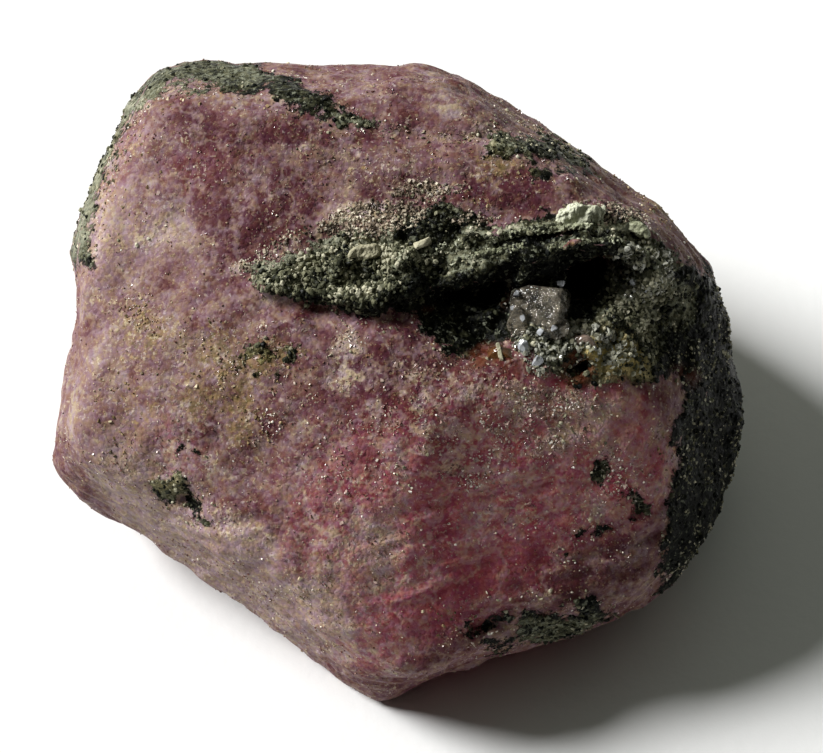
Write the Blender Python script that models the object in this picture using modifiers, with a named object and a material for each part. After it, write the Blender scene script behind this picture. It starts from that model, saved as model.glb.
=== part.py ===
"""A rough ruby crystal: one stubby hexagonal barrel of corundum, about 20 mm across, at its real size.

The crystal is modelled in its own axes: x and y lie in the basal plane and z is the c axis, the axis
of the hexagonal barrel. An empty then leans those axes forward, towards -Y, because the crystal lies
on a broken face that cuts off the front of its lower end. Natural cleaved facets are cut one by one
from a hexagonal blank, hollows are carved where softer grains have fallen out, and the whole surface
is then worn and weathered. The origin is the middle of the box that holds it, on the table.
"""

import math
from collections import namedtuple

import bmesh
import bpy
from mathutils import Matrix, Vector

MM = 0.001

# Pose of the crystal on the table
LEAN = math.radians(32)
CENTRE_HEIGHT = 4.75 * MM

# Hexagonal blank that the facets are cut from
BLANK_RADIUS = 13.0 * MM
BLANK_DEPTH = 15.0 * MM

# Wear and weathering: swells are broad, uneven growth, and pits are the small hollows between grains
SURFACE_STEP = 0.56 * MM
EDGE_WEAR_PASSES = 3
SURFACE_WEAR_PASSES = 1
WEAR_FACTOR = 0.5
SWELL_SIZE = 4.2 * MM
SWELL_HEIGHT = 0.5 * MM
PIT_SIZE = 1.3 * MM
PIT_HEIGHT = 0.28 * MM

# Block below the table top, which cuts the resting face
TABLE_SIDE = 60 * MM
TABLE_DEPTH = 20 * MM

# A facet's normal points to azimuth round the c axis (from +x towards +y) and leans tilt degrees
# from the top of the c axis. Its plane lies distance millimetres from the crystal's centre.
Facet = namedtuple("Facet", "name azimuth tilt distance")

CROWN = (
    Facet("crown_left", 211, 12.5, 5.70),
    Facet("crown_front", 268, 17, 5.93),
    Facet("crown_striated", 310, 21, 5.83),
    Facet("crown_right", 350, 20, 6.15),
    Facet("crown_back", 90, 12.5, 5.37),
    Facet("crown_back_left", 150, 18, 6.10),
)

SHOULDERS = (
    Facet("shoulder_front_left", 235, 68, 7.90),
    Facet("shoulder_front", 290, 75, 8.70),
    Facet("shoulder_front_right", 319, 62, 9.30),
    Facet("shoulder_right", 354, 57.5, 8.45),
    Facet("shoulder_right_back", 14, 78, 9.60),
    Facet("shoulder_back_right", 38, 78, 9.05),
    Facet("shoulder_back_corner", 56, 75, 8.25),
    Facet("shoulder_back", 91, 62, 8.75),
    Facet("shoulder_left_back", 157, 76, 10.25),
    Facet("shoulder_left", 176, 78, 9.90),
)

BARREL = (
    Facet("barrel_front_left", 235, 101, 8.30),
    Facet("barrel_front", 292, 116, 8.00),
    Facet("barrel_front_right", 318, 104, 9.65),
    Facet("barrel_right", 356, 99, 10.25),
    Facet("barrel_right_back", 14, 98, 9.65),
    Facet("barrel_back_right", 38, 99, 9.10),
    Facet("barrel_back_corner", 56, 100, 8.40),
    Facet("barrel_back", 91, 99, 9.10),
    Facet("barrel_left_back", 157, 101, 10.30),
    Facet("barrel_left", 176, 102, 9.80),
)

FOOT = (
    Facet("foot_parting", 80, 168, 6.4),
    Facet("foot_back_chip", 60, 130, 9.2),
)

# A hollow is an ellipsoid carved out of the surface: its centre and its half sizes along x, y and z
# in millimetres, in the crystal's axes, and how far it is turned about the c axis in degrees.
Hollow = namedtuple("Hollow", "name centre half_sizes turn")

HOLLOWS = (
    Hollow("hollow_parting_left", (-1.9, 2.85, 5.10), (2.9, 0.80, 0.95), -10),
    Hollow("hollow_parting_middle", (1.5, 2.2, 5.20), (2.2, 1.00, 1.20), -14),
    Hollow("hollow_parting_front", (1.9, 1.2, 5.25), (1.2, 0.80, 1.20), 0),
    Hollow("hollow_parting_wide", (4.1, 2.6, 5.30), (3.8, 1.70, 1.00), -6),
    Hollow("hollow_parting_right", (5.8, 2.95, 4.70), (1.5, 0.95, 1.60), 8),
    Hollow("hollow_parting_corner", (8.3, 1.2, 3.75), (1.6, 2.00, 1.10), 0),
    Hollow("hollow_back_step", (1.4, 6.95, 4.50), (5.2, 0.75, 1.15), -8),
    Hollow("hollow_left_notch", (-10.35, 1.9, 0.6), (1.35, 0.9, 3.2), 0),
    Hollow("hollow_front_pit", (-6.1, -3.5, 4.80), (1.0, 0.9, 1.1), 0),
)

RUBY_COLOUR = (0.20, 0.055, 0.075, 1.0)
RUBY_ROUGHNESS = 0.5
RUBY_IOR = 1.77


def clear_scene():
    """Removes every object that the file starts with."""
    for obj in list(bpy.data.objects):
        bpy.data.objects.remove(obj)


def new_collection(name):
    collection = bpy.data.collections.new(name)
    bpy.context.scene.collection.children.link(collection)
    return collection


def direction(azimuth, tilt):
    """Unit vector from a facet's two angles, in the crystal's axes."""
    a, t = math.radians(azimuth), math.radians(tilt)
    return Vector((math.sin(t) * math.cos(a), math.sin(t) * math.sin(a), math.cos(t)))


def cleave(bm, facet):
    """Cuts away what lies outside the facet's plane, and closes the cut."""
    normal = direction(facet.azimuth, facet.tilt)
    cut = bmesh.ops.bisect_plane(
        bm,
        geom=bm.verts[:] + bm.edges[:] + bm.faces[:],
        plane_co=normal * facet.distance * MM,
        plane_no=normal,
        clear_outer=True,
    )
    rim = [item for item in cut["geom_cut"] if isinstance(item, bmesh.types.BMEdge)]
    if rim:
        bmesh.ops.contextual_create(bm, geom=rim)


def faceted_body(name, facets):
    """The hexagonal blank with every facet cut."""
    bm = bmesh.new()
    bmesh.ops.create_cone(
        bm, cap_ends=True, segments=6, radius1=BLANK_RADIUS, radius2=BLANK_RADIUS, depth=BLANK_DEPTH
    )
    for facet in facets:
        cleave(bm, facet)
    bmesh.ops.recalc_face_normals(bm, faces=bm.faces[:])
    mesh = bpy.data.meshes.new(name)
    bm.to_mesh(mesh)
    bm.free()
    return bpy.data.objects.new(name, mesh)


def ellipsoid(hollow):
    """The cutter for one hollow."""
    centre = Vector(hollow.centre) * MM
    turn = Matrix.Rotation(math.radians(hollow.turn), 4, "Z")
    size = Matrix.Diagonal((*(s * MM for s in hollow.half_sizes), 1.0))
    bm = bmesh.new()
    bmesh.ops.create_icosphere(
        bm, subdivisions=3, radius=1.0, matrix=Matrix.Translation(centre) @ turn @ size
    )
    mesh = bpy.data.meshes.new(hollow.name)
    bm.to_mesh(mesh)
    bm.free()
    return bpy.data.objects.new(hollow.name, mesh)


def table_block():
    """A block whose top is the table, so that what it cuts off leaves a flat resting face."""
    bm = bmesh.new()
    below = Matrix.Translation((0, 0, -TABLE_DEPTH / 2))
    size = Matrix.Diagonal((TABLE_SIDE, TABLE_SIDE, TABLE_DEPTH, 1.0))
    bmesh.ops.create_cube(bm, size=1.0, matrix=below @ size)
    mesh = bpy.data.meshes.new("table_block")
    bm.to_mesh(mesh)
    bm.free()
    return bpy.data.objects.new("table_block", mesh)


def as_cutter(obj):
    obj.hide_render = True
    obj.display_type = "WIRE"
    return obj


def add_weathering(obj, name, size, height):
    """Uneven growth or pitting: moves the surface in and out by a soft noise of the given size."""
    texture = bpy.data.textures.new(name, "CLOUDS")
    texture.noise_scale = size
    texture.noise_depth = 1
    displace = obj.modifiers.new(name, "DISPLACE")
    displace.texture = texture
    displace.texture_coords = "LOCAL"
    displace.strength = height
    displace.mid_level = 0.5


def add_even_surface(obj, name, passes):
    """Rebuilds the surface in even steps, then wears it smooth."""
    even = obj.modifiers.new(name, "REMESH")
    even.mode = "VOXEL"
    even.voxel_size = SURFACE_STEP
    rounding = obj.modifiers.new(name + "_wear", "SMOOTH")
    rounding.factor = WEAR_FACTOR
    rounding.iterations = passes


def wear(obj, hollows, table):
    """Carves the hollows, rounds the edges, roughens the surface and cuts the resting face."""
    for hollow in hollows:
        carve = obj.modifiers.new(hollow.name, "BOOLEAN")
        carve.operation = "DIFFERENCE"
        carve.object = hollow
    add_even_surface(obj, "worn_edges", EDGE_WEAR_PASSES)
    add_weathering(obj, "swells", SWELL_SIZE, SWELL_HEIGHT)
    add_weathering(obj, "pits", PIT_SIZE, PIT_HEIGHT)
    add_even_surface(obj, "worn_surface", SURFACE_WEAR_PASSES)
    rest = obj.modifiers.new("resting_face", "BOOLEAN")
    rest.operation = "DIFFERENCE"
    rest.object = table


def ruby_material():
    material = bpy.data.materials.new("ruby")
    material.use_nodes = True
    shader = material.node_tree.nodes["Principled BSDF"]
    shader.inputs["Base Color"].default_value = RUBY_COLOUR
    shader.inputs["Roughness"].default_value = RUBY_ROUGHNESS
    shader.inputs["IOR"].default_value = RUBY_IOR
    shader.inputs["Metallic"].default_value = 0.0
    return material


def world_corners(obj):
    """Lowest and highest corner of the object as evaluated."""
    bpy.context.view_layer.update()
    evaluated = obj.evaluated_get(bpy.context.evaluated_depsgraph_get())
    mesh = evaluated.to_mesh()
    points = [evaluated.matrix_world @ vertex.co for vertex in mesh.vertices]
    evaluated.to_mesh_clear()
    low = Vector(min(p[axis] for p in points) for axis in range(3))
    high = Vector(max(p[axis] for p in points) for axis in range(3))
    return low, high


def build():
    clear_scene()
    parts = new_collection("ruby_crystal_parts")
    cutters = new_collection("cutters")

    crystal_axes = bpy.data.objects.new("crystal_axes", None)
    crystal_axes.rotation_euler = (LEAN, 0, 0)
    crystal_axes.location = (0, 0, CENTRE_HEIGHT)
    parts.objects.link(crystal_axes)

    crystal = faceted_body("ruby_crystal", CROWN + SHOULDERS + BARREL + FOOT)
    crystal.data.materials.append(ruby_material())
    crystal.parent = crystal_axes
    parts.objects.link(crystal)

    hollows = [as_cutter(ellipsoid(hollow)) for hollow in HOLLOWS]
    for hollow in hollows:
        hollow.parent = crystal_axes
        cutters.objects.link(hollow)
    table = as_cutter(table_block())
    cutters.objects.link(table)
    wear(crystal, hollows, table)

    low, high = world_corners(crystal)
    crystal_axes.location.x -= (low.x + high.x) / 2
    crystal_axes.location.y -= (low.y + high.y) / 2


build()
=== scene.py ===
"""Looks of the rough ruby crystal: its worn corundum body, the dark rock on it and its loose grains.

Everything is modelled in millimetres in the crystal's own axes, where z is the c axis of the hexagonal
barrel, and each finished mesh is then brought to metres on the table. Marks on the upper side are given
in plan, as they are seen when looking down the c axis from the sight point.
"""

import logging
import math
from dataclasses import dataclass
from enum import Enum

import bpy
import numpy as np
from mathutils import Matrix, Vector, noise


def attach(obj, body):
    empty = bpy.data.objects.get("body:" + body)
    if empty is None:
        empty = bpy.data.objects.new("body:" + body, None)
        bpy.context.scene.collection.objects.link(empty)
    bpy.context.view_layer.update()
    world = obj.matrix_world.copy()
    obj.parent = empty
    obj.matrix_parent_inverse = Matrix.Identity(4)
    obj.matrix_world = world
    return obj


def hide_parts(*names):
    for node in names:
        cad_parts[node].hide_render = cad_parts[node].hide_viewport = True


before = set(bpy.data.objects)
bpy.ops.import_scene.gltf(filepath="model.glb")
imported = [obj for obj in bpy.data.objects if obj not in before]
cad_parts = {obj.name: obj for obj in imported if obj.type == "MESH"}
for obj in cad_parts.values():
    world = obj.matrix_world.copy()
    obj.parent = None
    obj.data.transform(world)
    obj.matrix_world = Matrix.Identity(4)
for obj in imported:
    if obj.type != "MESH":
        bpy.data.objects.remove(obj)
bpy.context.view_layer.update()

MM = 0.001
BODY = "root"
CAD_NODE = "ruby_crystal"

# Pose of the crystal's axes on the table
LEAN = math.radians(32)
CRYSTAL_CENTRE = Vector((0.02, -0.334, 4.75))

# Sight point that the plan of the upper side is drawn from, in the crystal's axes
SIGHT = Vector((0.337, -0.015, 85.0))

# The photograph's frame: the real width of one pixel at the crystal's centre, and its size in pixels
PIXEL = 0.0293
FRAME_WIDTH = 823
SENSOR_WIDTH = 36.0

# Stand-ins for a length of nothing and for a length that no mark reaches, in millimetres
TINY = 1e-9
FAR = 1e9

# Factor that brings the toolkit's noise to about -1 to 1
NOISE_GAIN = 1.6

# Ripples that make outlines uneven: their size and height in millimetres, and their seed
WARP_RIPPLES = ((1.3, 0.2, 0.0), (0.45, 0.12, 10.0))
WARP_SEEDS = (7.0, 57.0)
RAGGED_RIPPLES = ((2.2, 0.6, 41.0), (0.8, 0.4, 43.0), (0.35, 0.35, 47.0))
EDGE_RIPPLE = (0.5, 0.12, 3.0)

# Share by which the dark rock is thinner on the sides than on the upper side
SIDE_THINNING = 0.55

# Cosine of the angle to the sight point over which the upper side's marks fade out, either way
TURN_AWAY = 0.12

# Share of a soft mark's slope that lies outside it
OUTER_SHARE = 0.3

Triple = tuple[float, float, float]
Colour = Triple
Point = tuple[float, float]
Setting = object
Grain = tuple[np.ndarray, np.ndarray]
Copies = tuple[np.ndarray, np.ndarray, np.ndarray]

log = logging.getLogger("ruby")


def table_from_crystal() -> Matrix:
    """Returns the matrix from crystal millimetres to metres on the table."""
    return Matrix.Scale(MM, 4) @ Matrix.Translation(CRYSTAL_CENTRE) @ Matrix.Rotation(LEAN, 4, "X")


def deselect_all() -> None:
    """Leaves nothing selected."""
    bpy.ops.object.select_all(action="DESELECT")


def take(obj: bpy.types.Object) -> None:
    """Selects one object alone and makes it the active one.

    Args:
        obj: The object that the next operators act on.
    """
    deselect_all()
    obj.select_set(True)
    bpy.context.view_layer.objects.active = obj


def new_object(name: str, data: bpy.types.ID) -> bpy.types.Object:
    """Links a new object to the scene.

    Args:
        name: Its name.
        data: Its mesh, light or camera.

    Returns:
        The object.
    """
    obj = bpy.data.objects.new(name, data)
    bpy.context.scene.collection.objects.link(obj)
    return obj


def modify(obj: bpy.types.Object, name: str, kind: str, **settings: Setting) -> None:
    """Gives an object one modifier and applies it.

    Args:
        obj: The object.
        name: The modifier's name.
        kind: Its type.
        **settings: Its settings.
    """
    modifier = obj.modifiers.new(name, kind)
    for key, value in settings.items():
        setattr(modifier, key, value)
    take(obj)
    bpy.ops.object.modifier_apply(modifier=name)


def relief_pattern(name: str, kind: str, size: float, **settings: Setting) -> bpy.types.Texture:
    """Makes a pattern that a surface is roughened by.

    Args:
        name: Name of the pattern.
        kind: Its type.
        size: Its size in millimetres.
        **settings: Its other settings.

    Returns:
        The texture.
    """
    made = bpy.data.textures.new(name, kind)
    made.noise_scale = size
    for key, value in settings.items():
        setattr(made, key, value)
    return made


def cleave(normal: np.ndarray, reach: float) -> None:
    """Breaks off what lies beyond a plane and closes the break, in edit mode.

    Args:
        normal: The plane's unit normal.
        reach: The plane's distance from the origin.
    """
    place = tuple(normal * reach)
    bpy.ops.mesh.select_all(action="SELECT")
    bpy.ops.mesh.bisect(plane_co=place, plane_no=tuple(normal), use_fill=True, clear_outer=True)


def store(mesh: bpy.types.Mesh, name: str, values: np.ndarray) -> None:
    """Stores a number for every point of a mesh, which finishes read by its name.

    Args:
        mesh: The mesh.
        name: The number's name.
        values: One number for each point.
    """
    layer = mesh.attributes.new(name, "FLOAT", "POINT")
    layer.data.foreach_set("value", values.astype(np.float32))


def read_array(items: bpy.types.bpy_prop_collection, key: str, width: int) -> np.ndarray:
    """Reads one property of every item of a mesh.

    Args:
        items: The mesh's vertices, normals, edges or faces.
        key: The property's name.
        width: How many numbers the property has.

    Returns:
        One row for each item, or a flat array where the width is 1.
    """
    flat = np.empty(len(items) * width, dtype=np.float64)
    items.foreach_get(key, flat)
    return flat.reshape(-1, width) if width > 1 else flat


def height_above_table(places: np.ndarray) -> np.ndarray:
    """Returns each point's height above the table in millimetres."""
    return places[:, 1] * math.sin(LEAN) + places[:, 2] * math.cos(LEAN) + CRYSTAL_CENTRE.z


def smooth_step(value: np.ndarray, low: float, high: float) -> np.ndarray:
    """Rises smoothly from 0 at low to 1 at high.

    Args:
        value: The numbers to turn into weights.
        low: Where the weight is still 0.
        high: Where the weight has reached 1.

    Returns:
        The weights.
    """
    t = np.clip((value - low) / (high - low), 0.0, 1.0)
    return t * t * (3 - 2 * t)


def ripple(places: np.ndarray, size: float, seed: float) -> np.ndarray:
    """Soft noise from about -1 to 1.

    Args:
        places: Points in millimetres, one row each.
        size: Size of the ripples in millimetres.
        seed: Shifts the pattern.

    Returns:
        One number for each point.
    """
    return np.array([noise.noise(Vector(p)) for p in (places / size + seed)]) * NOISE_GAIN


@dataclass(frozen=True)
class Patch:
    """An elliptical mark in plan: its centre, its half sizes and its turn in degrees."""

    centre: Point
    half: Point
    turn: float = 0.0

    def depth(self, plan: np.ndarray) -> np.ndarray:
        """Measures how far inside the mark each point is.

        Args:
            plan: Plan coordinates in millimetres, one row each.

        Returns:
            Millimetres inside the edge, negative outside it.
        """
        a = math.radians(self.turn)
        offset = plan - np.array(self.centre)
        along = offset[:, 0] * math.cos(a) + offset[:, 1] * math.sin(a)
        across = offset[:, 1] * math.cos(a) - offset[:, 0] * math.sin(a)
        reach = np.hypot(along / self.half[0], across / self.half[1])
        radius = np.where(reach < 1, min(self.half), np.hypot(along, across) / np.maximum(reach, TINY))
        return (1 - reach) * radius


@dataclass(frozen=True)
class Outline:
    """A mark in plan with straight sides between its points."""

    points: tuple[Point, ...]

    def depth(self, plan: np.ndarray) -> np.ndarray:
        """Measures how far inside the outline each point is.

        Args:
            plan: Plan coordinates in millimetres, one row each.

        Returns:
            Millimetres inside the outline, negative outside it.
        """
        sides = tuple(zip(self.points, self.points[1:] + self.points[:1]))
        nearest = distance_to_lines(plan, sides)
        inside = np.zeros(len(plan), dtype=bool)
        for a, b in sides:
            crosses = (a[1] > plan[:, 1]) != (b[1] > plan[:, 1])
            rise = b[1] - a[1] if b[1] != a[1] else TINY
            inside ^= crosses & (plan[:, 0] < (b[0] - a[0]) * (plan[:, 1] - a[1]) / rise + a[0])
        return np.where(inside, nearest, -nearest)


@dataclass(frozen=True)
class Seam:
    """A mark in plan that follows a line and is as wide as twice half_width."""

    points: tuple[Point, ...]
    half_width: float

    def depth(self, plan: np.ndarray) -> np.ndarray:
        """Measures how far inside the seam each point is.

        Args:
            plan: Plan coordinates in millimetres, one row each.

        Returns:
            Millimetres inside the edge, negative outside it.
        """
        return self.half_width - distance_to_lines(plan, tuple(zip(self.points, self.points[1:])))


@dataclass(frozen=True)
class Pocket:
    """A mark with depth, for the sides and the underside: its centre and its half sizes along x, y and z."""

    centre: Triple
    half: Triple

    def depth(self, places: np.ndarray) -> np.ndarray:
        """Measures how far inside the pocket each point is.

        Args:
            places: Points in the crystal's axes in millimetres, one row each.

        Returns:
            Millimetres inside the edge, negative outside it.
        """
        reach = np.linalg.norm((places - np.array(self.centre)) / np.array(self.half), axis=1)
        return (1 - reach) * min(self.half)


Mark = Patch | Outline | Seam


def distance_to_lines(plan: np.ndarray, lines: tuple[tuple[Point, Point], ...]) -> np.ndarray:
    """Measures the distance from each point to the nearest of some straight pieces of line.

    Args:
        plan: Plan coordinates in millimetres, one row each.
        lines: The two ends of each line.

    Returns:
        Millimetres to the nearest line.
    """
    nearest = np.full(len(plan), FAR)
    for a, b in lines:
        start, step = np.array(a), np.array(b) - np.array(a)
        share = np.clip((plan - start) @ step / max(step @ step, TINY), 0.0, 1.0)
        nearest = np.minimum(nearest, np.linalg.norm(plan - start - share[:, None] * step, axis=1))
    return nearest


# Marks on the upper side, in plan millimetres

# Dark amphibole: the broken band that crosses the face and widens over the whole right side
BAND = Outline((
    (-4.4, 3.0), (-2.9, 3.7), (-1.6, 4.1), (-0.4, 4.3), (-0.1, 5.0), (1.2, 5.1), (2.3, 4.7), (2.8, 4.2),
    (4.2, 4.65), (5.6, 4.75), (7.0, 4.7), (7.7, 3.9), (8.8, 3.2), (10.1, 2.3), (13.0, 2.0), (13.0, -8.0),
    (8.8, -7.4), (7.6, -6.4), (7.8, -4.8), (7.95, -3.0), (8.1, -1.5), (8.6, -0.7), (8.3, -0.2), (7.5, 0.0),
    (6.8, -0.1), (6.0, -0.4), (5.1, -0.2), (4.3, 0.2), (3.3, 1.1), (2.9, 0.8), (1.6, 0.5), (1.1, 0.9),
    (0.6, 1.6), (-1.5, 1.9), (-2.9, 2.2), (-4.0, 2.5),
))
RIM = Seam(((-9.6, 3.5), (-9.35, 4.7), (-8.7, 6.6), (-8.0, 8.3)), 0.4)
RIM_TOP = Seam(((-8.0, 8.3), (-6.9, 8.9), (-5.4, 8.95), (-4.4, 8.8)), 0.44)
RIM_TAIL = Seam(((-4.6, 8.8), (-4.0, 8.65), (-3.4, 8.4), (-2.6, 8.05), (-1.75, 7.75)), 0.26)
AMPHIBOLE = (
    BAND,
    RIM,
    RIM_TOP,
    RIM_TAIL,
    Outline((
        (3.2, -7.3), (4.0, -6.75), (5.0, -6.9), (5.6, -6.7),
        (6.3, -7.0), (5.4, -7.5), (4.4, -7.7), (3.4, -7.6),
    )),
    Patch((2.6, -7.4), (0.7, 0.2), 12),
    Patch((1.9, -7.3), (0.25, 0.12), 30),
    Patch((3.0, -7.9), (0.5, 0.14), 8),
    Patch((-4.5, 0.75), (0.2, 0.12), 20),
    Patch((-4.0, 0.85), (0.22, 0.12), -20),
    Patch((-3.95, 0.5), (0.3, 0.14), 10),
    Patch((-3.35, 0.85), (0.16, 0.1), -30),
    Patch((-3.4, 0.45), (0.2, 0.1), 40),
    Patch((-4.2, 0.1), (0.2, 0.1), 30),
    Patch((-3.6, 0.05), (0.14, 0.1)),
    Patch((-4.7, 0.3), (0.12, 0.08)),
    Seam(((2.9, 6.85), (4.2, 6.7), (5.3, 6.3)), 0.34),
    Patch((4.3, 5.9), (0.35, 0.2), -10),
    Patch((6.01, -2.81), (0.27, 0.3), 20),
    Patch((6.8, -3.84), (0.26, 0.38), 30),
    Patch((5.39, -4.45), (0.12, 0.09)),
    Patch((5.92, -4.54), (0.16, 0.09)),
    Patch((4.98, -5.01), (0.15, 0.1)),
    Patch((-6.3, -2.05), (0.12, 0.08), 15),
    Patch((-6.0, -2.1), (0.1, 0.06)),
    Patch((-6.15, -3.6), (0.24, 0.46), 20),
    Patch((-6.7, -3.3), (0.5, 0.5), -30),
    Patch((-5.8, -4.3), (0.3, 0.16), -40),
    Patch((-9.5, 3.84), (0.16, 0.6), -10),
    Seam(((-1.8, 7.75), (-1.1, 7.45), (-0.4, 7.25)), 0.09),
)

# Share of pale green and khaki grains within the dark rock; the two patches right of the deep hole are partly
# painted light
KHAKI = (
    (Outline((
        (-5.0, 2.9), (-2.9, 4.2), (-1.6, 4.7), (-0.2, 4.6), (0.7, 3.5), (0.2, 2.6), (-1.5, 2.25), (-4.0, 2.3),
    )), 0.84),
    (Seam(((-4.6, 3.2), (-2.9, 3.95), (-1.6, 4.3), (-0.3, 4.3)), 0.3), 0.6),
    (Outline((
        (3.4, 2.2), (4.4, 1.7), (5.6, 1.5), (6.9, 1.1), (7.3, -0.2), (6.0, -0.5), (4.6, 0.1), (3.4, 0.7),
    )), 0.6),
    (Patch((7.9, 2.2), (0.9, 0.9), -30), 0.7),
    (Patch((1.7, 3.4), (1.3, 0.6), 10), 0.7),
    (Patch((4.6, 0.1), (0.8, 0.5), -20), 0.7),
    (Patch((6.2, -0.1), (0.6, 0.6)), 0.6),
    (Patch((0.6, 3.9), (0.7, 0.35), 15), 0.8),
    (Patch((-0.9, 3.75), (0.75, 0.3), 5), 0.8),
    (Patch((6.6, 1.2), (1.1, 1.4), -10), 1.0),
    # Paler right of the deep hole: partly its grey-green grains, partly painted light on the shade that the
    # hole's roof casts
    (Patch((7.0, 2.9), (1.0, 0.8), -20), 1.1),
    (Patch((7.4, 3.9), (1.1, 0.6), -25), 0.8),
    (Patch((-6.0, 8.9), (2.6, 0.6)), 0.25),
    (Patch((-8.9, 5.4), (0.7, 2.4), -14), 0.5),
    (Patch((4.5, -7.3), (2.0, 0.45), 5), 0.55),
    (Patch((9.4, -2.6), (1.9, 4.8)), -0.12),
    (Patch((-3.8, 0.6), (1.1, 0.7), -8), 0.45),
    (Seam(((2.3, 3.95), (3.6, 4.3), (5.0, 4.42), (5.9, 4.45), (7.5, 4.2)), 0.2), 1.2),
    (Seam(((4.3, 3.75), (5.4, 4.0)), 0.16), 0.9),
    (Seam(((1.2, 3.0), (2.1, 3.35), (3.0, 3.5)), 0.16), 0.8),
    (RIM, 0.5),
    (RIM_TOP, 0.3),
    (Seam(((-8.1, 7.7), (-7.1, 8.35), (-5.6, 8.45)), 0.22), 0.8),
    (Seam(((-1.8, 7.75), (-1.0, 7.45), (0.0, 7.15)), 0.2), 1.0),
    (RIM_TAIL, 0.25),
    (Patch((-6.9, -3.1), (0.6, 0.8), 20), 1.1),
    (Patch((-5.8, -4.3), (0.4, 0.3), -40), 0.5),
    (Patch((2.0, 4.7), (1.3, 0.5), 5), 0.3),
    (Patch((6.01, -2.81), (0.4, 0.4), 20), 0.4),
    (Patch((6.8, -3.84), (0.4, 0.5), 30), 0.3),
    (Seam(((2.6, 6.9), (4.2, 6.8), (5.6, 6.3)), 0.45), 0.6),
)

# Chalky, cream feldspar and dust
CHALK = (
    Patch((-1.6, 1.05), (0.45, 0.55), -15),
    Patch((-1.5, -0.15), (0.35, 0.22), 30),
    Patch((0.5, -0.8), (0.2, 0.14), 20),
    Patch((1.47, -1.64), (0.3, 0.16), -20),
    Patch((3.57, -0.64), (0.5, 0.38), 25),
    Patch((5.6, -0.9), (1.15, 0.42), -10),
    Patch((4.9, -1.9), (0.7, 0.5), 10),
    Patch((0.8, -2.1), (0.2, 0.12), -10),
    Patch((7.6, -1.5), (0.22, 0.32)),
    Patch((-0.97, 3.85), (0.65, 0.26), 10),
    Patch((0.64, 3.95), (0.28, 0.13), 20),
    Patch((0.7, 5.5), (1.2, 0.14), 2),
    Seam(((-8.7, 3.85), (-7.8, 4.2), (-6.7, 4.05)), 0.1),
    Seam(((-8.0, 7.4), (-7.2, 8.35), (-5.5, 8.45)), 0.12),
    Patch((-0.9, 4.7), (1.2, 0.4), 8),
    Patch((-8.3, 4.0), (0.9, 0.25), 8),
    Seam(((-1.6, 7.6), (-0.8, 7.2), (0.6, 7.0), (2.1, 7.0), (4.7, 6.95), (5.4, 6.6)), 0.13),
    Seam(((-2.6, 7.5), (-2.45, 7.1), (-2.45, 6.75), (-2.9, 6.55), (-3.4, 6.6)), 0.05),
    Seam(((0.1, -3.2), (-0.1, -2.4)), 0.05),
    Patch((0.4, 0.5), (0.2, 0.12), 40),
    Seam(((-5.7, -3.2), (-5.0, -4.2), (-4.6, -4.9)), 0.05),
    Seam(((1.9, -6.6), (3.2, -6.5), (4.3, -6.35)), 0.07),
    Patch((6.9, 4.5), (0.6, 0.2), -15),
)

# Where pale crumbs have grown out of the ruby or been pressed into it, and how densely
CRUMBLY = (
    (Patch((2.0, -0.9), (3.4, 1.5), -12), 0.42),
    (Patch((4.4, 0.3), (1.2, 0.5), -8), 0.9),
    (Patch((3.9, -0.75), (2.6, 0.6), -8), 0.9),
    (Patch((-1.5, 0.6), (0.6, 1.2), 12), 0.6),
    (Patch((0.6, 0.1), (1.3, 0.4), -35), 0.2),
    (Patch((-5.2, -0.4), (2.2, 2.6)), 0.35),
    (Patch((-0.5, -3.4), (3.2, 2.8)), 0.4),
    (Patch((-2.6, -5.2), (1.6, 1.8), -40), 0.3),
    (Patch((4.2, -2.8), (3.4, 1.8), -10), 0.5),
    (Patch((-1.0, 4.75), (1.2, 0.5), 8), 0.95),
    (Patch((0.8, 5.5), (1.2, 0.22)), 0.9),
    (Seam(((-4.9, 2.9), (-3.0, 4.0), (-1.6, 4.5), (-0.4, 4.7)), 0.35), 0.8),
    (Seam(((3.35, 2.6), (3.3, 1.9), (3.5, 1.2)), 0.25), 1.0),
)

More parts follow.
